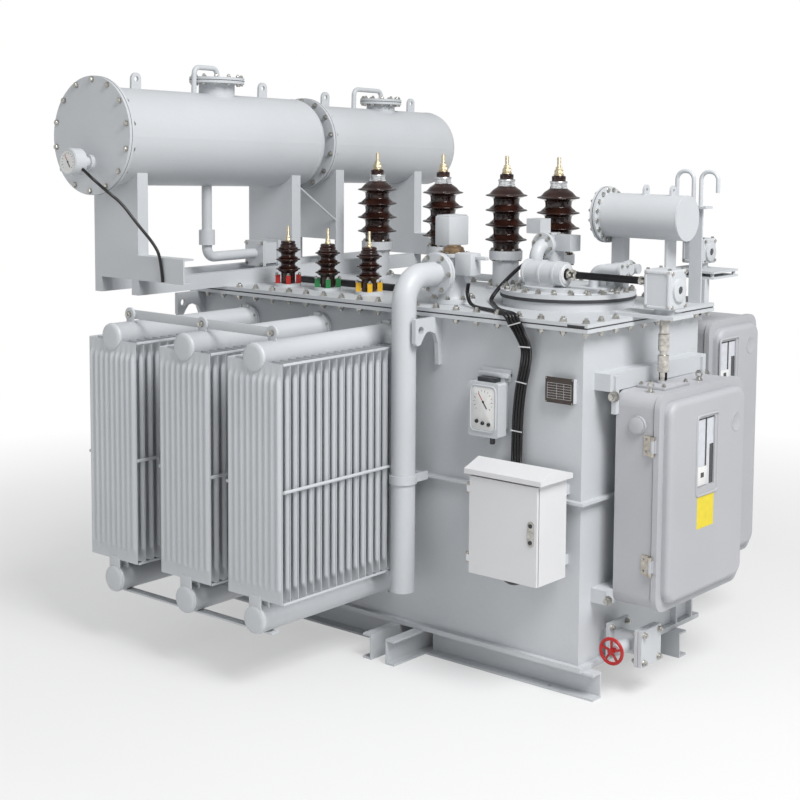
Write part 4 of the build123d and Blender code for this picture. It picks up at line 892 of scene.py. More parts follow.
class TRANSFORMER_OT_tall_bushings(bpy.types.Operator):
    """Makes the tall porcelain bushings with their collars, nuts and rods"""

    bl_idname = "transformer.tall_bushings"
    bl_label = "Tall bushings"

    def execute(self, context):
        bodies, collars, screws = Shape(), Shape(), Shape()
        for x in TALL_X:
            bodies.add(porcelain(
                x, TALL_Y, TALL_FOOT, sheds=4, first=49, pitch=69, core=60, rim=98, shoulder=32,
                height=TALL_TOP - TALL_FOOT))
            low = TALL_TOP - 59
            collars.add(turned([
                (32, low), (39, low), (40, low + 1.5), (40, low + 9), (37.5, low + 11),
                (37.5, low + 23), (40, low + 25), (40, low + 32), (39, low + 34), (32, low + 34),
                (32, low)], (x, TALL_Y, 0)))
            screws.bolt(circle_of((x, TALL_Y, TOP + 14), Z, 75, 8), Z, 11, True)
            screws.bolt(circle_of((x, TALL_Y, TALL_FOOT), Z, 67, 8, 22), Z, 9, True)
            screws.bolt(circle_of((x, TALL_Y, TALL_FOOT - 40), Z, 69, 8, 22), -Z, 9)
        bodies.piece("tall_porcelain", "brown_glaze", stands_for=("hv_insulators",), sharp=60)
        collars.piece("tall_collars", "cap_metal", stands_for=("hv_caps",))
        screws.piece("tall_bushing_bolts", "zinc", weld=False)
        return {"FINISHED"}


def nut(at, corner, height):
    """A hexagon nut: twelve points a ring, where every second one lies on a flat's middle."""
    at = np.asarray(at, float)
    t = np.arange(BOLT_SIDES) * 2 * np.pi / BOLT_SIDES
    flat = np.where(np.arange(BOLT_SIDES) % 2, math.cos(math.pi / 6), 1.0)
    low = corner * 0.88
    radii = np.array([0 * flat, low + 0 * flat, corner * flat, corner * flat, low + 0 * flat,
                      0 * flat])
    levels = np.array([0, 0, 0.14, 0.86, 1, 1]) * height
    points = np.stack([radii * np.cos(t), radii * np.sin(t),
                       np.broadcast_to(levels[:, None], radii.shape)], -1)
    return (points + at).reshape(-1, 3), quads(6, BOLT_SIDES)


class TRANSFORMER_OT_terminals(bpy.types.Operator):
    """Makes the brass rods and nuts on every bushing"""

    bl_idname = "transformer.terminals"
    bl_label = "Terminals"

    def execute(self, context):
        brass = Shape()
        for x in TALL_X:
            at = np.array((x, TALL_Y, TALL_TOP))
            brass.add(disc(at, Z, 24, 7, 1.5))
            brass.add(nut(at + (0, 0, 7), 23, 17))
            brass.add(disc(at + (0, 0, 24), Z, 19, 3, 0.8))
            brass.add(nut(at + (0, 0, 27), 16.5, 13))
            brass.add(turned([(0, 0), (9, 0), (9, 80), (7.5, 84), (0, 84)], at, Z, 24))
        for x in SHORT_X:
            at = np.array((x, SHORT_Y, SHORT_FOOT + 200))
            brass.add(disc(at, Z, 15, 3, 0.6))
            brass.add(nut(at + (0, 0, 3), 13, 10))
            brass.add(nut(at + (0, 0, 15), 12, 8))
            brass.add(turned([(0, 0), (7, 0), (7, 68), (5.5, 71), (0, 71)], at, Z, 20))
        brass.piece("terminal_brass", "brass", stands_for=("terminals",))
        return {"FINISHED"}


class TRANSFORMER_OT_short_bushings(bpy.types.Operator):
    """Makes the short porcelain bushings and the nuts on their clamps"""

    bl_idname = "transformer.short_bushings"
    bl_label = "Short bushings"

    def execute(self, context):
        bodies, nuts = Shape(), Shape()
        for x in SHORT_X:
            bodies.add(porcelain(
                x, SHORT_Y, SHORT_FOOT, sheds=3, first=66, pitch=45, core=33, rim=58, shoulder=24,
                height=186))
            bodies.add(disc((x, SHORT_Y, SHORT_FOOT + 184), Z, 34, 16, 4))
            nuts.bolt(circle_of((x, SHORT_Y, SHORT_FOOT + 40), Z, 54, 4, 45), Z, 9, True)
        bodies.piece("short_porcelain", "brown_glaze", stands_for=("lv_insulators",), sharp=60)
        nuts.piece("short_clamp_nuts", "zinc", weld=False)
        return {"FINISHED"}


# Cover


def rim_places(pitch, out, z):
    """Evenly spaced points round the cover's edge, at a distance outside the wall."""
    x0, x1, y0, y1 = LEFT - out, RIGHT + out, FRONT - out, BACK + out
    along = np.linspace(x0, x1, int(round((x1 - x0) / pitch)) + 1)
    side = np.linspace(y0, y1, int(round((y1 - y0) / pitch)) + 1)[1:-1]
    rows = [np.column_stack([along, 0 * along + y, 0 * along + z]) for y in (y0, y1)]
    rows += [np.column_stack([0 * side + x, side, 0 * side + z]) for x in (x0, x1)]
    return np.vstack(rows)


BOLT_INSET = 20
# Where the cover's upper bolts make way: the gearbox bracket, the small drum's posts, the vent
# pipes and the far gearbox
COVER_FEET = (
    (RIGHT - 80, RIGHT + 260, SHAFT_Y - 98, SHAFT_Y + 98),
    (RIGHT - 60, RIGHT + 60, 140, 260),
    (RIGHT - 60, RIGHT + 42, 325, 375),
    (RIGHT - 40, RIGHT + 45, BACK - 15, BACK + 65),
)
HOOK_X = (LEFT + 15, LEFT + 1477)
HOOK_HALF = 30


class TRANSFORMER_OT_cover_bolts(bpy.types.Operator):
    """Bolts the cover down all round, with nuts under the rim"""

    bl_idname = "transformer.cover_bolts"
    bl_label = "Cover bolts"

    def execute(self, context):
        look = context.scene.transformer_look
        size = look.cover_bolt / MM
        pitch = look.bolt_pitch / MM
        out = RIM_OUT - BOLT_INSET
        above = clear_of(rim_places(pitch, out, TOP), COVER_FEET)
        hooks = [(x - HOOK_HALF, x + HOOK_HALF, FRONT - RIM_OUT, BACK + RIM_OUT) for x in HOOK_X]
        below = clear_of(rim_places(pitch, out, RIM_LOW[2]), hooks)
        screws = Shape()
        screws.bolt(above, Z, size, True)
        screws.bolt(below, -Z, size, True)
        screws.piece("cover_bolts", "zinc", weld=False)
        return {"FINISHED"}


# Drums


# Each drum's front joint: its place along the axis, bolt circle, bolt size and rubber's radius
DRUM_JOINTS = ((0, 245, 14, 262.5), (REAR_START, 213, 13, 228.5))
JOINT_BOLTS = 14
JOINT_T = 28
# Each lid on the drums: its place along the axis, its radius and the height of its joint
LIDS = ((745, 130, 282), (REAR_START + 606, 110, 238))
# Each weld seam: its place along the axis and its radius
SEAMS = ((30, 218), (1254, 216.4), (REAR_START + 30, 196), (2318, 194.4))
SMALL_DRUM = np.array((RIGHT - 330, 200, TOP + 383))
SMALL_RING = 109


class TRANSFORMER_OT_drum_bolts(bpy.types.Operator):
    """Bolts the drums' discs and lids, and draws their rubber joints and weld seams"""

    bl_idname = "transformer.drum_bolts"
    bl_label = "Drum bolts"

    def execute(self, context):
        screws, rubber, welds = Shape(), Shape(), Shape()
        front, back = turn_drum(-Y), turn_drum(Y)
        up, down = turn_drum(Z), turn_drum(-Z)
        for i, (y, r, size, rubber_r) in enumerate(DRUM_JOINTS):
            near = circle_of((0, y, 0), Y, r, JOINT_BOLTS, 90)
            screws.bolt(on_drum(near), front, size, i > 0)
            screws.bolt(on_drum(near + (0, JOINT_T, 0)), back, size, i == 0)
            rubber.add(disc((0, y + 12.8, 0), Y, rubber_r, 2.4, 0.3, 96), on_drum)
        for y, r, z in LIDS:
            for lift, normal in ((14, up), (-14, down)):
                places = circle_of((0, y, z + lift), Z, r - 15, 12, 15)
                screws.bolt(on_drum(places), normal, 11, lift > 0)
            rubber.add(disc((0, y, z - 1.5), Z, r + 0.6, 3, 0.3, 64), on_drum)
        for y, r in SEAMS:
            welds.add(hoop((0, y, 0), Y, r, 3.4, 96, 8), on_drum)
        places = circle_of(SMALL_DRUM, X, SMALL_RING, 16, 11)
        screws.bolt(places, -X, 10, True)
        screws.bolt(places + (26, 0, 0), X, 10)
        rubber.add(disc(SMALL_DRUM + (11.5, 0, 0), X, 122.5, 3, 0.3, 64))
        for x, thick in ((28, 3), (404, 2.4)):
            welds.add(hoop(SMALL_DRUM + (x, 0, 0), X, 95, thick, 64, 8))
        screws.piece("drum_bolts", "zinc", weld=False)
        rubber.piece("drum_gaskets", "gasket_rubber")
        welds.piece("drum_welds", "grey_paint")
        return {"FINISHED"}


# Tap changer


TAP_FLANGE = TOP + 68
RELAY = np.array((TAP_X - 150, TAP_Y + 110, TOP + 84))
CASE_END = TAP_X + 65


class TRANSFORMER_OT_tap_head(bpy.types.Operator):
    """Bolts the tap changer's head and dresses its drive and pipes"""

    bl_idname = "transformer.tap_head"
    bl_label = "Tap changer head"

    def execute(self, context):
        screws, cast, band, ring, dark = (Shape() for _ in range(5))
        zones = (
            (TAP_X - 150, TAP_X + 80, SHAFT_Y - 62, SHAFT_Y + 62),
            (TAP_X + 90, TAP_X + 180, 180, 260),
        )
        centre = (TAP_X, TAP_Y, TAP_FLANGE)
        screws.bolt(clear_of(circle_of(centre, Z, 274, 24, 7), zones), Z, 14, True)
        screws.bolt(clear_of(circle_of(centre, Z, 222, 20, 0), zones), Z, 12, True)
        for i in range(3):
            middle = (TAP_X + 282 - i * 22, TAP_Y + i * 60, TOP + 162)
            screws.bolt(circle_of(middle, X, 29, 4, 45), X, 7, True)
        screws.bolt(circle_of(RELAY + (0, -95, 160), Y, 46, 6, 15), -Y, 9, True)
        screws.bolt(circle_of(RELAY + (0, 0, 205), Z, 36, 6), Z, 7)
        screws.bolt(circle_of(RELAY + (0, 0, 8), Z, 54, 6, 20), Z, 7)
        cast.add(hoop(centre, Z, 246, 3, 96, 8))
        cast.add(turned([(48, -2), (60, -2), (60, 8), (48, 8), (48, -2)], RELAY))
        band.add(turned([
            (283, -2), (291.5, -2), (293.2, 0), (293.2, 11), (291.5, 13), (283, 13), (283, -2),
        ], (TAP_X, TAP_Y, TOP + 37.5), Z, 128))
        band.add(block((RIGHT + RIM_OUT - 95, FRONT - RIM_OUT - 1.2, TOP - 15),
                       (RIGHT + RIM_OUT - 14, FRONT - RIM_OUT + 4, TOP - 7), 1))
        ring.add(turned([
            (24, -3), (41, -3), (42, -1), (42, 3), (40, 5), (27, 5), (24, 2), (24, -3),
        ], (CASE_END, SHAFT_Y, SHAFT_Z), X))
        dark.add(turned([(13, 0), (24, 0), (24, 1), (13, 1), (13, 0)],
                        (CASE_END - 0.5, SHAFT_Y, SHAFT_Z), X, 40))
        band.piece("tap_gasket_band", "gasket_rubber")
        screws.piece("tap_bolts", "zinc", weld=False)
        cast.piece("tap_rings", "grey_paint")
        ring.piece("drive_end_ring", "frame_pale", slot="grey_paint")
        dark.piece("drive_end_shadow", "window_dark")
        return {"FINISHED"}


def universal_joint(x, length):
    """Two forks and a cross on the top shaft, with one fork turned square to the other."""
    made = Shape()
    side, other = across(X)
    centre = np.array((x, SHAFT_Y, SHAFT_Z))
    half = length / 2
    for end, arm, flat in ((-1, side, other), (1, other, side)):
        made.add(turned([(0, 0), (17, 0), (18, 1.5), (18, 12), (14, 14), (0, 14)],
                        centre + X * end * half, -X * end, 28))
        for flank in (-1, 1):
            path = np.array([
                centre + X * end * (half - 12) + arm * flank * 12,
                centre + X * end * (half - 18) + arm * flank * 16,
                centre + arm * flank * 17 - X * end * 5,
            ])
            made.add(tube(flowing(path, 4), 6.5, 12, flat))
        made.add(rod(centre - arm * 21, arm, 6, 42, 20))
    made.add(disc(centre - X * 8, X, 9, 16, 2, 20))
    return made


COUPLING_FEET = (47, 134)


class TRANSFORMER_OT_drive_joints(bpy.types.Operator):
    """Makes the drive shafts with their universal joints and couplings"""

    bl_idname = "transformer.drive_joints"
    bl_label = "Drive shafts"

    def execute(self, context):
        self.top_shaft()
        self.upright_shaft("drive_shaft_down", "shaft_down", TOP - 14)
        self.upright_shaft("drive_shaft_far", "shaft_far", corners("drive_shaft_far")[1][2] - 24)
        return {"FINISHED"}

    def top_shaft(self):
        low, high = (corner[0] for corner in corners("drive_shaft_top"))
        stem = Shape()
        stem.add(rod((low, SHAFT_Y, SHAFT_Z), X, 12, high - low, 32))
        a, b = 68, high - low - 66
        stem.add(turned([(0, a), (14.5, a), (15.5, a + 1.5), (15.5, b - 1.5), (14.5, b), (0, b)],
                        (low, SHAFT_Y, SHAFT_Z), X, 40))
        stem.piece("top_shaft_dressed", "shaft_black", "shaft_top", ("drive_shaft_top",))
        universal_joint(low + 42, 50).piece("top_joint_near", "shaft_steel", "shaft_top")
        universal_joint(high - 40, 50).piece("top_joint_far", "shaft_steel", "shaft_top")

    def upright_shaft(self, node, body, head):
        """A turned shaft whose top collar ends at the head, with two dark forks across it."""
        low, high = corners(node)
        x, y = (low[:2] + high[:2]) / 2
        reach, top = high[2] - low[2], head - low[2]
        line = [(0, 0), (12, 0), (12, 26), (14, 27), (14, 46), (12, 47)]
        for foot in COUPLING_FEET:
            line += [
                (20, foot), (23, foot + 2), (23, foot + 22), (21.5, foot + 23),
                (21.5, foot + 26), (23, foot + 27), (23, foot + 46), (21.5, foot + 47),
                (21.5, foot + 50), (23, foot + 51), (23, foot + 69), (20, foot + 71),
                (16, foot + 71), (16, foot + 87 if foot == COUPLING_FEET[0] else foot + 76)]
        line += [(12, 211), (12, top - 62), (17, top - 60), (18, top - 58), (18, top - 2),
                 (17, top), (12, top), (12, reach), (0, reach)]
        shaft, clevis = Shape(), Shape()
        shaft.add(turned(line, (x, y, low[2]), Z, 36))
        for foot in COUPLING_FEET:
            shaft.bolt(circle_of((x, y, low[2] + foot + 35), Z, 22, 1, 45), (0.7, -0.7, 0), 6)
        for flank in (-1, 1):
            for out, half, z0, z1, edge in ((13, 6, 14, 48, 2), (11, 5, 202, 216, 1.5)):
                at = x + flank * out
                clevis.add(block((at - 4, y - half, low[2] + z0), (at + 4, y + half, low[2] + z1), edge))
        shaft.piece(node + "_dressed", "shaft_steel", body, (node,))
        clevis.piece(body + "_clevis", "shaft_black", body)


# Each box: its middle along X and Y, its foot, its width and its height
GEARBOXES = (
    (RIGHT + 150, SHAFT_Y, TOP + 14, 125, 182),
    (RIGHT - 100, BACK + 170, TOP + 137, 110, 132),
)
BOX_FOOT = 22
CORNER_IN = 12


class TRANSFORMER_OT_gearboxes(bpy.types.Operator):
    """Bolts the bevel gearboxes and sets a dark plug in each boss"""

    bl_idname = "transformer.gearboxes"
    bl_label = "Bevel gearboxes"

    def execute(self, context):
        screws, plugs, frames = Shape(), Shape(), Shape()
        for x, y, z, size, height in GEARBOXES:
            half = size / 2
            low, high = z + BOX_FOOT, z + height
            mid = (low + high) / 2
            spot, rise = half - CORNER_IN, (high - low) / 2 - CORNER_IN
            for centre, right, up, reach in (
                    ((x + half, y, mid), Y, Z, (spot, rise)),
                    ((x, y - half, mid), X, Z, (spot, rise)),
                    ((x, y, high), X, Y, (spot, spot))):
                for at in four(centre, right, up, reach):
                    screws.bolt(at, np.cross(right, up), 8)
            boss = z + height * 0.55
            plugs.add(turned([(0, 0), (15, 0), (15, 1.5), (13, 3), (0, 3)], (x + half + 7, y, boss), X, 32))
            frames.add(turned([
                (17, 6), (size * 0.38, 6), (size * 0.38, 9), (size * 0.34, 11), (17, 11), (17, 6),
            ], (x + half, y, boss), X))
            frames.add(pressed((x, y - half, mid), X, Z, (half - 5, (high - low) / 2 - 5), 8,
                               [(0, -2), (0, 2.5), (2, 4), (8, 4), (10, 2), (10, -2)]))
        screws.piece("gearbox_bolts", "zinc", weld=False)
        plugs.piece("gearbox_plugs", "window_dark")
        frames.piece("gearbox_rings", "grey_paint")
        return {"FINISHED"}


# Relief device and pipework


RELIEF_PIPE = TOP + 134
RELIEF_HEAD = TOP + 215


class TRANSFORMER_OT_relief(bpy.types.Operator):
    """Makes the relief device with its double flange, boxes and cap, and bolts it"""

    bl_idname = "transformer.relief"
    bl_label = "Relief device"

    def execute(self, context):
        screws, cap, body = Shape(), Shape(), Shape()
        x, y = RELIEF_X, RELIEF_Y
        body.add(turned([
            (0, 0), (98, 0), (100, 2), (100, 18), (98, 20), (74, 20), (70, 23), (66, 32), (62, 60),
            (61, 110), (61, 196), (66, 199), (74, 200), (76, 202), (76, 213), (74, 215), (0, 215),
        ], (x, y, TOP), Z, 64))
        body.add(turned([
            (0, 0), (51, 0), (51, 96), (55, 101), (88, 101), (90, 103), (90, 113), (88, 115),
            (70, 115), (70, 117), (88, 117), (90, 119), (90, 129), (88, 131), (0, 131),
        ], (x, y, RELIEF_PIPE), -Y, 64))
        body.add(turned([(0, 0), (17, 0), (17, 8), (13, 10), (13, 26), (8, 34), (0, 34)],
                        (x + 96, y - 24, RELIEF_PIPE - 8), -Z, 28))
        for low, high, edge in (
                ((50, -58, 126), (138, 14, 222), 4),
                ((138, -30, 196), (196, -8, 210), 2),
                ((-148, 52, 237), (-66, 190, 366), 5),
                ((-143, 57, 366), (-71, 185, 371), 2),
                ((-130, 40, 196), (30, 110, 208), 3),
                ((-120, 70, 206), (-92, 100, 240), 3)):
            foot = np.array((x, y, TOP))
            body.add(block(foot + low, foot + high, edge))
        screws.bolt(circle_of((x, y, TOP + 20), Z, 88, 8, 22), Z, 12, True)
        screws.bolt(circle_of((x, y - 131, RELIEF_PIPE), Y, 77, 6), -Y, 12, True)
        screws.bolt(circle_of((x, y - 101, RELIEF_PIPE), Y, 77, 6), Y, 12)
        screws.bolt(circle_of((x, y, RELIEF_HEAD), Z, 64, 8, 11), Z, 9)
        cap.add(turned([
            (0, 0), (48, 0), (48, 10), (44, 13), (44, 22), (38, 27), (30, 30), (30, 34), (0, 34),
        ], (x, y, RELIEF_HEAD)))
        body.piece("relief_body_dressed", "grey_paint", stands_for=("relief_device",))
        screws.piece("relief_bolts", "zinc", weld=False)
        cap.piece("relief_cap_dressed", "bronze", stands_for=("relief_cap",))
        return {"FINISHED"}


VALVE_Y = FRONT + 215
VALVE_Z = 205


class TRANSFORMER_OT_pipe_bolts(bpy.types.Operator):
    """Bolts the oil pipe's relay and the drain valve"""

    bl_idname = "transformer.pipe_bolts"
    bl_label = "Pipe bolts"

    def execute(self, context):
        screws = Shape()
        x = LEFT + 93
        for y, normal in ((-188, -Y), (-64, Y)):
            for at in four((x, y, TOP + 130), X, Z, (52, 52)):
                screws.bolt(at, normal, 10, True)
        screws.bolt(circle_of((x, -3, TOP + 12), Z, 38, 6), Z, 9)
        for out, normal in ((208, X), (174, -X), (56, X)):
            for at in four((RIGHT + out, VALVE_Y, VALVE_Z), Y, Z, (57, 57)):
                screws.bolt(at, normal, 14, True)
        screws.piece("pipe_bolts", "zinc", weld=False)
        return {"FINISHED"}


# Instruments


GAUGE = np.array((0.0, -124.0, -118.0))
METER = np.array((RIGHT - 425, FRONT - 88, WALL_HIGH[2] - 320))
METER_PLATE = METER - (0, 0, 28)
# Each dial: its middle, its radius, the way to its place and the thickness of its plate
DIAL_ROWS = ((GAUGE, 50, on_drum, 1.2), (METER, 58, kept, 1.6))
TICKS = np.radians(np.linspace(-130, 130, 14))
HAND = math.radians(-35)


def dial_bar(centre, angle, reach, half, corner, low, high, steps=3):
    """A flat bar on a dial, laid along an angle from upright with its middle at a reach."""
    along = np.array((math.sin(angle), 0, math.cos(angle)))
    return pressed(centre + along * reach, np.cross(Y, along), along, half, corner,
                   [(0, low), (0, high)], steps)


class TRANSFORMER_OT_dials(bpy.types.Operator):
    """Makes the oil gauge and the thermometer with their scales and hands"""

    bl_idname = "transformer.dials"
    bl_label = "Dials"

    def execute(self, context):
        faces, marks, rims, hands, knobs, ledge = (Shape() for _ in range(6))
        faces.add(disc(GAUGE, -Y, 50, 1.2, 0.2, 64), on_drum)
        faces.add(pressed(METER_PLATE, X, Z, (60, 88), 22, [(0, 0), (0, 1.2), (0.6, 1.6)], 8))
        for centre, r, place, depth in DIAL_ROWS:
            front = centre - (0, depth, 0)
            for i, angle in enumerate(TICKS):
                width, length = (1.2, 6.0) if i % 2 else (0.8, 3.6)
                marks.add(dial_bar(front, angle, r * 0.82 - length / 2,
                                   (width / 2 + 0.4, length / 2 + 1), 0.3, 0, 0.3, 2), place)
            hands.add(dial_bar(front, HAND, r * 0.3, (1.6, r * 0.42), 1.2, 0.2, 0.7), place)
            marks.add(dial_bar(front, HAND, -r * 0.3, (2.2, r * 0.28), 1.2, 0.2, 0.9), place)
            marks.add(disc(front, -Y, 5, 1, 0.3, 24), place)
        rims.add(turned([
            (50, 0), (57, 0), (57.5, 1), (56.5, 2.8), (51, 2.8), (50, 2), (50, 0),
        ], GAUGE, -Y, 64), on_drum)
        for inset in (0, 5):
            crest = 4.5 - inset * 0.5
            rims.add(pressed(METER_PLATE, X, Z, (67 - inset, 97 - inset), 26 - inset, [
                (0, -1), (0, crest - 1), (1.5, crest), (4, crest), (6, 0.8), (6, -1)], 8))
        for dx, dz in ((-30, -82), (0, -88), (31, -91)):
            knobs.add(turned([(0, 0), (8, 0), (8, 5), (6.5, 8), (0, 8)],
                             METER + (dx, -1.4, dz), -Y, 24))
        knobs.add(block(METER + (-45, 18, 80), METER + (45, 58, 98), 2))
        knobs.add(turned([(0, 0), (11, 0), (11, 30), (9, 32), (0, 32)], METER + (25, 33, -145), -Z, 24))
        ledge.add(block(METER + (-67, 54, 98), METER + (80, 86, 115), 1.5))
        ledge.add(block(METER + (-67, 78, 80), METER + (80, 86, 130), 1.5))
        knobs.piece("thermometer_knobs", "window_dark")
        hands.piece("dial_hands", "hand_red")
        ledge.piece("thermometer_ledge", "grey_paint")
        faces.piece("dial_plates", "dial_white", stands_for=("dial_faces",))
        marks.piece("dial_marks", "ink")
        rims.piece("dial_rims", "grey_paint")
        return {"FINISHED"}


class TRANSFORMER_OT_nameplate(bpy.types.Operator):
    """Makes the nameplate with empty ruled fields and its screws"""

    bl_idname = "transformer.nameplate"
    bl_label = "Nameplate"

    def execute(self, context):
        low, high = corners("nameplate")
        middle = (low + high) / 2
        wide, tall = (high - low)[[0, 2]] / 2
        plate, rules, screws = Shape(), Shape(), Shape()
        plate.add(pressed((middle[0], high[1], middle[2]), X, Z, (wide, tall), 5,
                          [(0, 0), (0, 2.2), (0.6, 2.7)]))
        at = np.array((middle[0], low[1] + 0.3, middle[2]))
        fields = [((0, 0, dz), (wide - 10, 0.5)) for dz in np.linspace(18 - tall, tall - 24, 7)]
        fields += [((dx, 0, -3), (0.5, tall - 21)) for dx in (10 - wide, -12, 22, wide - 10)]
        for shift, half in fields:
            rules.add(pressed(at + shift, X, Z, half, 0.2, [(0, 0), (0, 0.2)], 2))
        for corner in four(at + (0, 0.1, 0), X, Z, (wide - 5, tall - 5)):
            screws.add(disc(corner, -Y, 2.6, 0.4, 0.1, 16))
        plate.piece("nameplate_dressed", "plate_brown", stands_for=("nameplate",))
        rules.piece("nameplate_rules", "frame_pale", slot="cap_metal")
        screws.piece("nameplate_screws", "zinc")
        return {"FINISHED"}


# Cabinets


# Each door's name and body, its hinge edge along Y, the window's reach along Y from there and down
# from the door's top, and the place of its round boss in the same way
DOORS = (
    ("near", "near_door", FRONT + 129, (239, 374), (118, 400), (553, 172)),
    ("far", "far_door", BACK + 110, (41, 177), (86, 269), (313, 125)),
)


def sash(at, half):
    """A raised lip with rounded corners round a window slot, facing along X."""
    lip = [(0, -1), (0, 2), (2, 4.5), (5, 5.5), (8, 4.5), (10, 2), (10, -1), (0, -1)]
    steps = 7
    ring = 4 * steps
    points, faces = pressed(at + (0, 8, -12), Y, Z, (half[0] + 22, half[1] + 27), 20, lip, steps)
    inside = (faces >= ring).all(1) & (faces < len(points) - ring).all(1)
    return points[ring:-ring], faces[inside] - ring


def strip(at, half, thick=0.6):
    """A thin flat plate that faces along X."""
    return pressed(at, Y, Z, half, 1.5, [(0, 0), (0, thick)], 3)


def door_window(name, body, y0, across_y, down_z, spot):
    """The window slot of a cabinet door, with its lip, pane, dark slits and counter, and the
    round boss beside it."""
    face, top = corners(name + "_cabinet_door")[1][[0, 2]] - (0, 6)
    floor = face - 6
    mid = np.array((floor, y0 + sum(across_y) / 2, top - sum(down_z) / 2))
    wide, tall = (across_y[1] - across_y[0]) / 2, (down_z[1] - down_z[0]) / 2
    lip, pale, dark, counter, roundel = (Shape() for _ in range(5))
    lip.add(sash(mid + (6, 0, 0), (wide, tall)))
    pale.add(strip(mid, (wide - 1, tall - 1)))
    for shift, half, thick in (
            ((0.7, wide * 0.06, 10), (6, tall - 14), 0.6),
            ((0.7, wide * 0.74, -tall * 0.4), (wide * 0.22, tall * 0.58), 0.6),
            ((0.7, 0, tall - 4), (wide - 2, 4), 0.6),
            ((5, -wide * 0.4, -tall * 0.66), (13, 10), 0.4)):
        dark.add(strip(mid + shift, half, thick))
    counter.add(block(mid + (0.5, 5 - wide, 6 - tall), mid + (5, wide * 0.16, -tall * 0.42), 1.2))
    roundel.add(turned([(0, 0), (41, 0), (41, 2.2), (39.5, 3.4), (36, 3.4), (34, 2.2), (0, 2.2)],
                       (face - 1.5, y0 + spot[0], top - spot[1]), X, 64))
    lip.piece(name + "_window_lip", "cabinet_paint", body)
    pale.piece(name + "_window_pane", "window_pale", body)
    dark.piece(name + "_window_slits", "window_dark", body)
    counter.piece(name + "_window_counter", "dial_white", body)
    roundel.piece(name + "_door_roundel", "cabinet_paint", body)


# Each door's hinge edge along X and Y, and its foot and top
HINGE_EDGES = ((RIGHT + 253, FRONT + 129, 373, 1240), (RIGHT - 25, BACK + 110, 325, 1420))
HINGE_SHARES = (0.215, 0.77)
LUG_Z = 1222
CABINET_PLATE_Z = 1252


def cabinet_bolts():
    """Screws on the hinge leaves, large bolts in the lugs, and bolts of the plate on top."""
    screws = Shape()
    for x, y, low, high in HINGE_EDGES:
        for share in HINGE_SHARES:
            for at in four((x - 27, y - 6, low + (high - low) * share), -X, Z, (10, 24)):
                screws.bolt(at, -Y, 6)
    for y, out in ((FRONT + 105, -Y), (FRONT + 818, Y)):
        screws.bolt((RIGHT + 81, y, LUG_Z), out, 24, True)
    screws.bolt((RIGHT + 92, FRONT + 72, 402), -Y, 20, True)
    corners_on_top = four((RIGHT + 152.5, -92, CABINET_PLATE_Z), X, Y, (52.5, 86))
    screws.bolt(corners_on_top, Z, 10, True)
    screws.piece("cabinet_bolts", "zinc", weld=False)


LABEL_AT = (-12.5, 738)
LABEL_HALF = (67, 69)


class TRANSFORMER_OT_cabinets(bpy.types.Operator):
    """Dresses the motor cabinets: windows, roundels, blank label, hinges, lugs and eye bolts"""

    bl_idname = "transformer.cabinets"
    bl_label = "Motor cabinets"

    def execute(self, context):
        for row in DOORS:
            door_window(*row)
        sticker, fittings, eyes = Shape(), Shape(), Shape()
        face = corners("near_cabinet_door")[1][0]
        sticker.add(pressed((face - 0.1, *LABEL_AT), Y, Z, LABEL_HALF, 3, [(0, 0), (0, 0.35)], 3))
        sticker.piece("blank_label", "label_yellow", "near_door")
        cabinet_bolts()
        fittings.add(block((RIGHT + 85, -192, CABINET_PLATE_Z - 12), (RIGHT + 218, 8, CABINET_PLATE_Z), 2))
        fittings.add(turned([(0, 0), (31, 0), (33, 2), (33, 6), (29, 8), (0, 8)],
                            (RIGHT + 178, FRONT + 117, 1116), -Y))
        for y in (-255, 130):
            at = np.array((RIGHT + 190, y, CABINET_PLATE_Z - 12))
            eyes.add(turned([(0, 0), (16, 0), (16, 5), (12, 6), (9, 16), (0, 16)], at, Z, 24))
            eyes.add(hoop(at + (0, 0, 28), Y, 13, 3.8, 32, 10))
        fittings.piece("cabinet_fittings", "cabinet_paint")
        eyes.piece("cabinet_eye_bolts", "zinc")
        return {"FINISHED"}


# Wiring


BUNDLE = np.array([
    (770, -498, TOP + 9), (815, -524, TOP - 18), (836, -512, TOP - 62), (846, -482, TOP - 130),
    (838, -478, TOP - 205), (818, -478, TOP - 300), (806, -478, TOP - 420), (803, -478, TOP - 560),
    (803, -482, TOP - 628), (803, -500, TOP - 650)])
BUNDLE_SIDE = np.array([
    (0.8, 0.6, 0.1), (0.86, 0.4, 0.3), (0.95, 0.1, 0.2), (1, 0, 0), (1, 0, -0.06), (1, 0, -0.1),
    (1, 0, -0.05), (1, 0, 0), (1, 0, 0), (1, 0, 0)])
FROM_RELIEF = np.array([
    (402, -294, TOP + 92), (412, -312, TOP + 48), (486, -372, TOP + 12), (640, -440, TOP + 9)])
FROM_TAP = np.array([
    (526, 124, TOP + 140), (505, 112, TOP + 176), (474, 84, TOP + 178), (436, 30, TOP + 140),
    (408, -60, TOP + 70), (420, -150, TOP + 18), (500, -244, TOP + 9), (640, -390, TOP + 9)])
CONDUIT_STEP = 13.4
CONDUIT_R = 6.6
LEAD = (
    (-974.7, -1256.0, 2085.0), (-917, -1256, 2050), (-897, -1180, 1984), (-847, -1145, 1936),
    (-797, -1110, 1854), (-745, -1052, 1758), (-718, -1040, 1698), (-707, -1040, 1594))
TIE_LINE = np.vstack([[(476, -210, TOP + 9), (604, -342, TOP + 9)], BUNDLE])
TIE_SIDE = np.vstack([[(0.71, 0.70, 0), (0.71, 0.70, 0)], BUNDLE_SIDE])
TIE_STEPS = (100, 190, 290, 400, 500)
LEAD_DIAMETER = 0.014


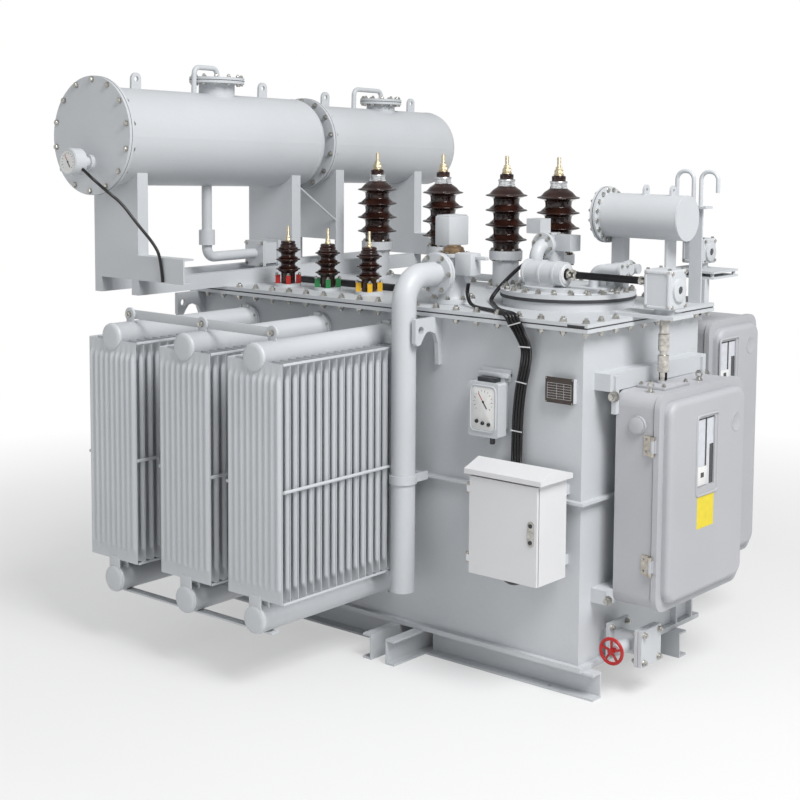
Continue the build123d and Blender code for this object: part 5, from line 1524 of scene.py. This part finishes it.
def conduits():
    """Two corrugated conduits from the relief device and two from the tap changer, which meet and
    run side by side over the cover's edge and down the wall, and the duct on the cover."""
    black = Shape()
    for i, start in enumerate((FROM_RELIEF, FROM_RELIEF, FROM_TAP, FROM_TAP)):
        shift = np.array((11.0, -9.0, 0.0)) * (i % 2)
        beside = (i - 1.5) * CONDUIT_STEP * unit(BUNDLE_SIDE)
        path = flowing(np.vstack([start + shift, BUNDLE + beside]), 60)
        black.add(tube(path, CONDUIT_R + 0.7 * np.sin(np.arange(len(path)) * np.pi * 0.5), 12))
    low = np.array((LEFT + 339, FRONT + 327, TOP))
    black.add(block(low, low + (587, 35, 30), 3))
    black.piece("conduits", "cable_black", stands_for=("wiring",))


def conduit_ties():
    """Flat ties across the bundle, each at a step along its middle line."""
    ties = Shape()
    line, side = flowing(TIE_LINE, 60), flowing(TIE_SIDE, 60)
    for at in TIE_STEPS:
        right = unit(side[at])
        ties.add(pressed(line[at] - (0, 8.6, 0), right, np.cross(Y, right), (29, 2.6), 1,
                         [(0, 0), (0, 1.4)], 2))
    ties.piece("conduit_ties", "cap_metal")


def gauge_lead():
    """The hanging lead of the oil gauge."""
    curve = bpy.data.curves.new("gauge_lead", "CURVE")
    curve.dimensions = "3D"
    curve.bevel_depth = LEAD_DIAMETER / 2
    curve.bevel_resolution = 4
    curve.use_fill_caps = True
    curve.resolution_u = 12
    spline = curve.splines.new("NURBS")
    spline.points.add(len(LEAD) - 1)
    for point, at in zip(spline.points, LEAD):
        point.co = (*(value * MM for value in at), 1.0)
    spline.order_u = 3
    spline.use_endpoint_u = True
    curve.materials.append(FINISHES["cable_black"])
    lead = linked("gauge_lead", curve)
    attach(lead, "transformer")
    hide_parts("wiring")
    start = tuple(value * MM for value in LEAD[0])


class TRANSFORMER_OT_wiring(bpy.types.Operator):
    """Makes the corrugated conduits, the duct on the cover and the lead of the oil gauge"""

    bl_idname = "transformer.wiring"
    bl_label = "Wiring"

    def execute(self, context):
        conduits()
        gauge_lead()
        conduit_ties()
        return {"FINISHED"}


class TRANSFORMER_OT_control_box(bpy.types.Operator):
    """Dresses the control box with its latch and the glands under it"""

    bl_idname = "transformer.control_box"
    bl_label = "Control box"

    def execute(self, context):
        low, high = corners("control_door")
        latch, keys, glands = Shape(), Shape(), Shape()
        at = np.array((high[0] - 28, low[1], (low[2] + high[2]) / 2 + 10))
        latch.add(pressed(at + (0, 0.1, 0), X, Z, (15, 50), 14,
                          [(0, 0), (0, 3), (2, 4.6), (5, 4.6), (6, 3.2)]))
        for lift in (-33, 33):
            keys.add(turned([(0, 0), (8.5, 0), (8.5, 5), (7, 6.5), (0, 6.5)], at + (0, 0, lift), -Y, 28))
        low, high = corners("control_box")
        under = np.array((*(low + high)[:2] / 2, low[2]))
        for dx in (-95, 85):
            glands.add(turned([(0, 0), (16, 0), (16, 6), (13, 7), (13, 20), (9, 26), (0, 26)],
                              under + (dx, 0, 0), -Z, 24))
        glands.add(turned([(0, 0), (46, 0), (47, 4), (47, 12), (40, 24), (26, 34), (0, 38)],
                          under + (-4, -20, 1), -Z))
        latch.piece("control_latch", "zinc", "control_door", slot="cap_metal")
        keys.piece("control_latch_keys", "window_dark", "control_door")
        glands.piece("control_glands", "cable_black", slot="gasket_rubber")
        return {"FINISHED"}


PIECES = (
    TRANSFORMER_OT_stage,
    TRANSFORMER_OT_node_finishes,
    TRANSFORMER_OT_radiators,
    TRANSFORMER_OT_tie_bars,
    TRANSFORMER_OT_tall_bushings,
    TRANSFORMER_OT_short_bushings,
    TRANSFORMER_OT_terminals,
    TRANSFORMER_OT_cover_bolts,
    TRANSFORMER_OT_drum_bolts,
    TRANSFORMER_OT_tap_head,
    TRANSFORMER_OT_drive_joints,
    TRANSFORMER_OT_gearboxes,
    TRANSFORMER_OT_relief,
    TRANSFORMER_OT_pipe_bolts,
    TRANSFORMER_OT_dials,
    TRANSFORMER_OT_nameplate,
    TRANSFORMER_OT_cabinets,
    TRANSFORMER_OT_wiring,
    TRANSFORMER_OT_control_box,
)


class TRANSFORMER_PT_pieces(bpy.types.Panel):
    """Lists the pieces in the sidebar"""

    bl_idname = "TRANSFORMER_PT_pieces"
    bl_label = "Power transformer"
    bl_space_type = "VIEW_3D"
    bl_region_type = "UI"
    bl_category = "Transformer"

    def draw(self, context):
        layout = self.layout
        look = context.scene.transformer_look
        for name in TransformerLook.__annotations__:
            layout.prop(look, name)
        for piece in PIECES:
            layout.operator(piece.bl_idname)


def register():
    bpy.utils.register_class(TransformerLook)
    for piece in PIECES:
        bpy.utils.register_class(piece)
    bpy.utils.register_class(TRANSFORMER_PT_pieces)
    bpy.types.Scene.transformer_look = bpy.props.PointerProperty(type=TransformerLook)


def unregister():
    del bpy.types.Scene.transformer_look
    bpy.utils.unregister_class(TRANSFORMER_PT_pieces)
    for piece in reversed(PIECES):
        bpy.utils.unregister_class(piece)
    bpy.utils.unregister_class(TransformerLook)


def main():
    register()
    for piece in PIECES:
        getattr(bpy.ops.transformer, piece.bl_idname.split(".")[1])()
    boxes = {"cad": CAD_BOX, "visual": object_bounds()}
    {name: [list(corner) for corner in box] for name, box in boxes.items()}


if __name__ == "__main__":
    main()
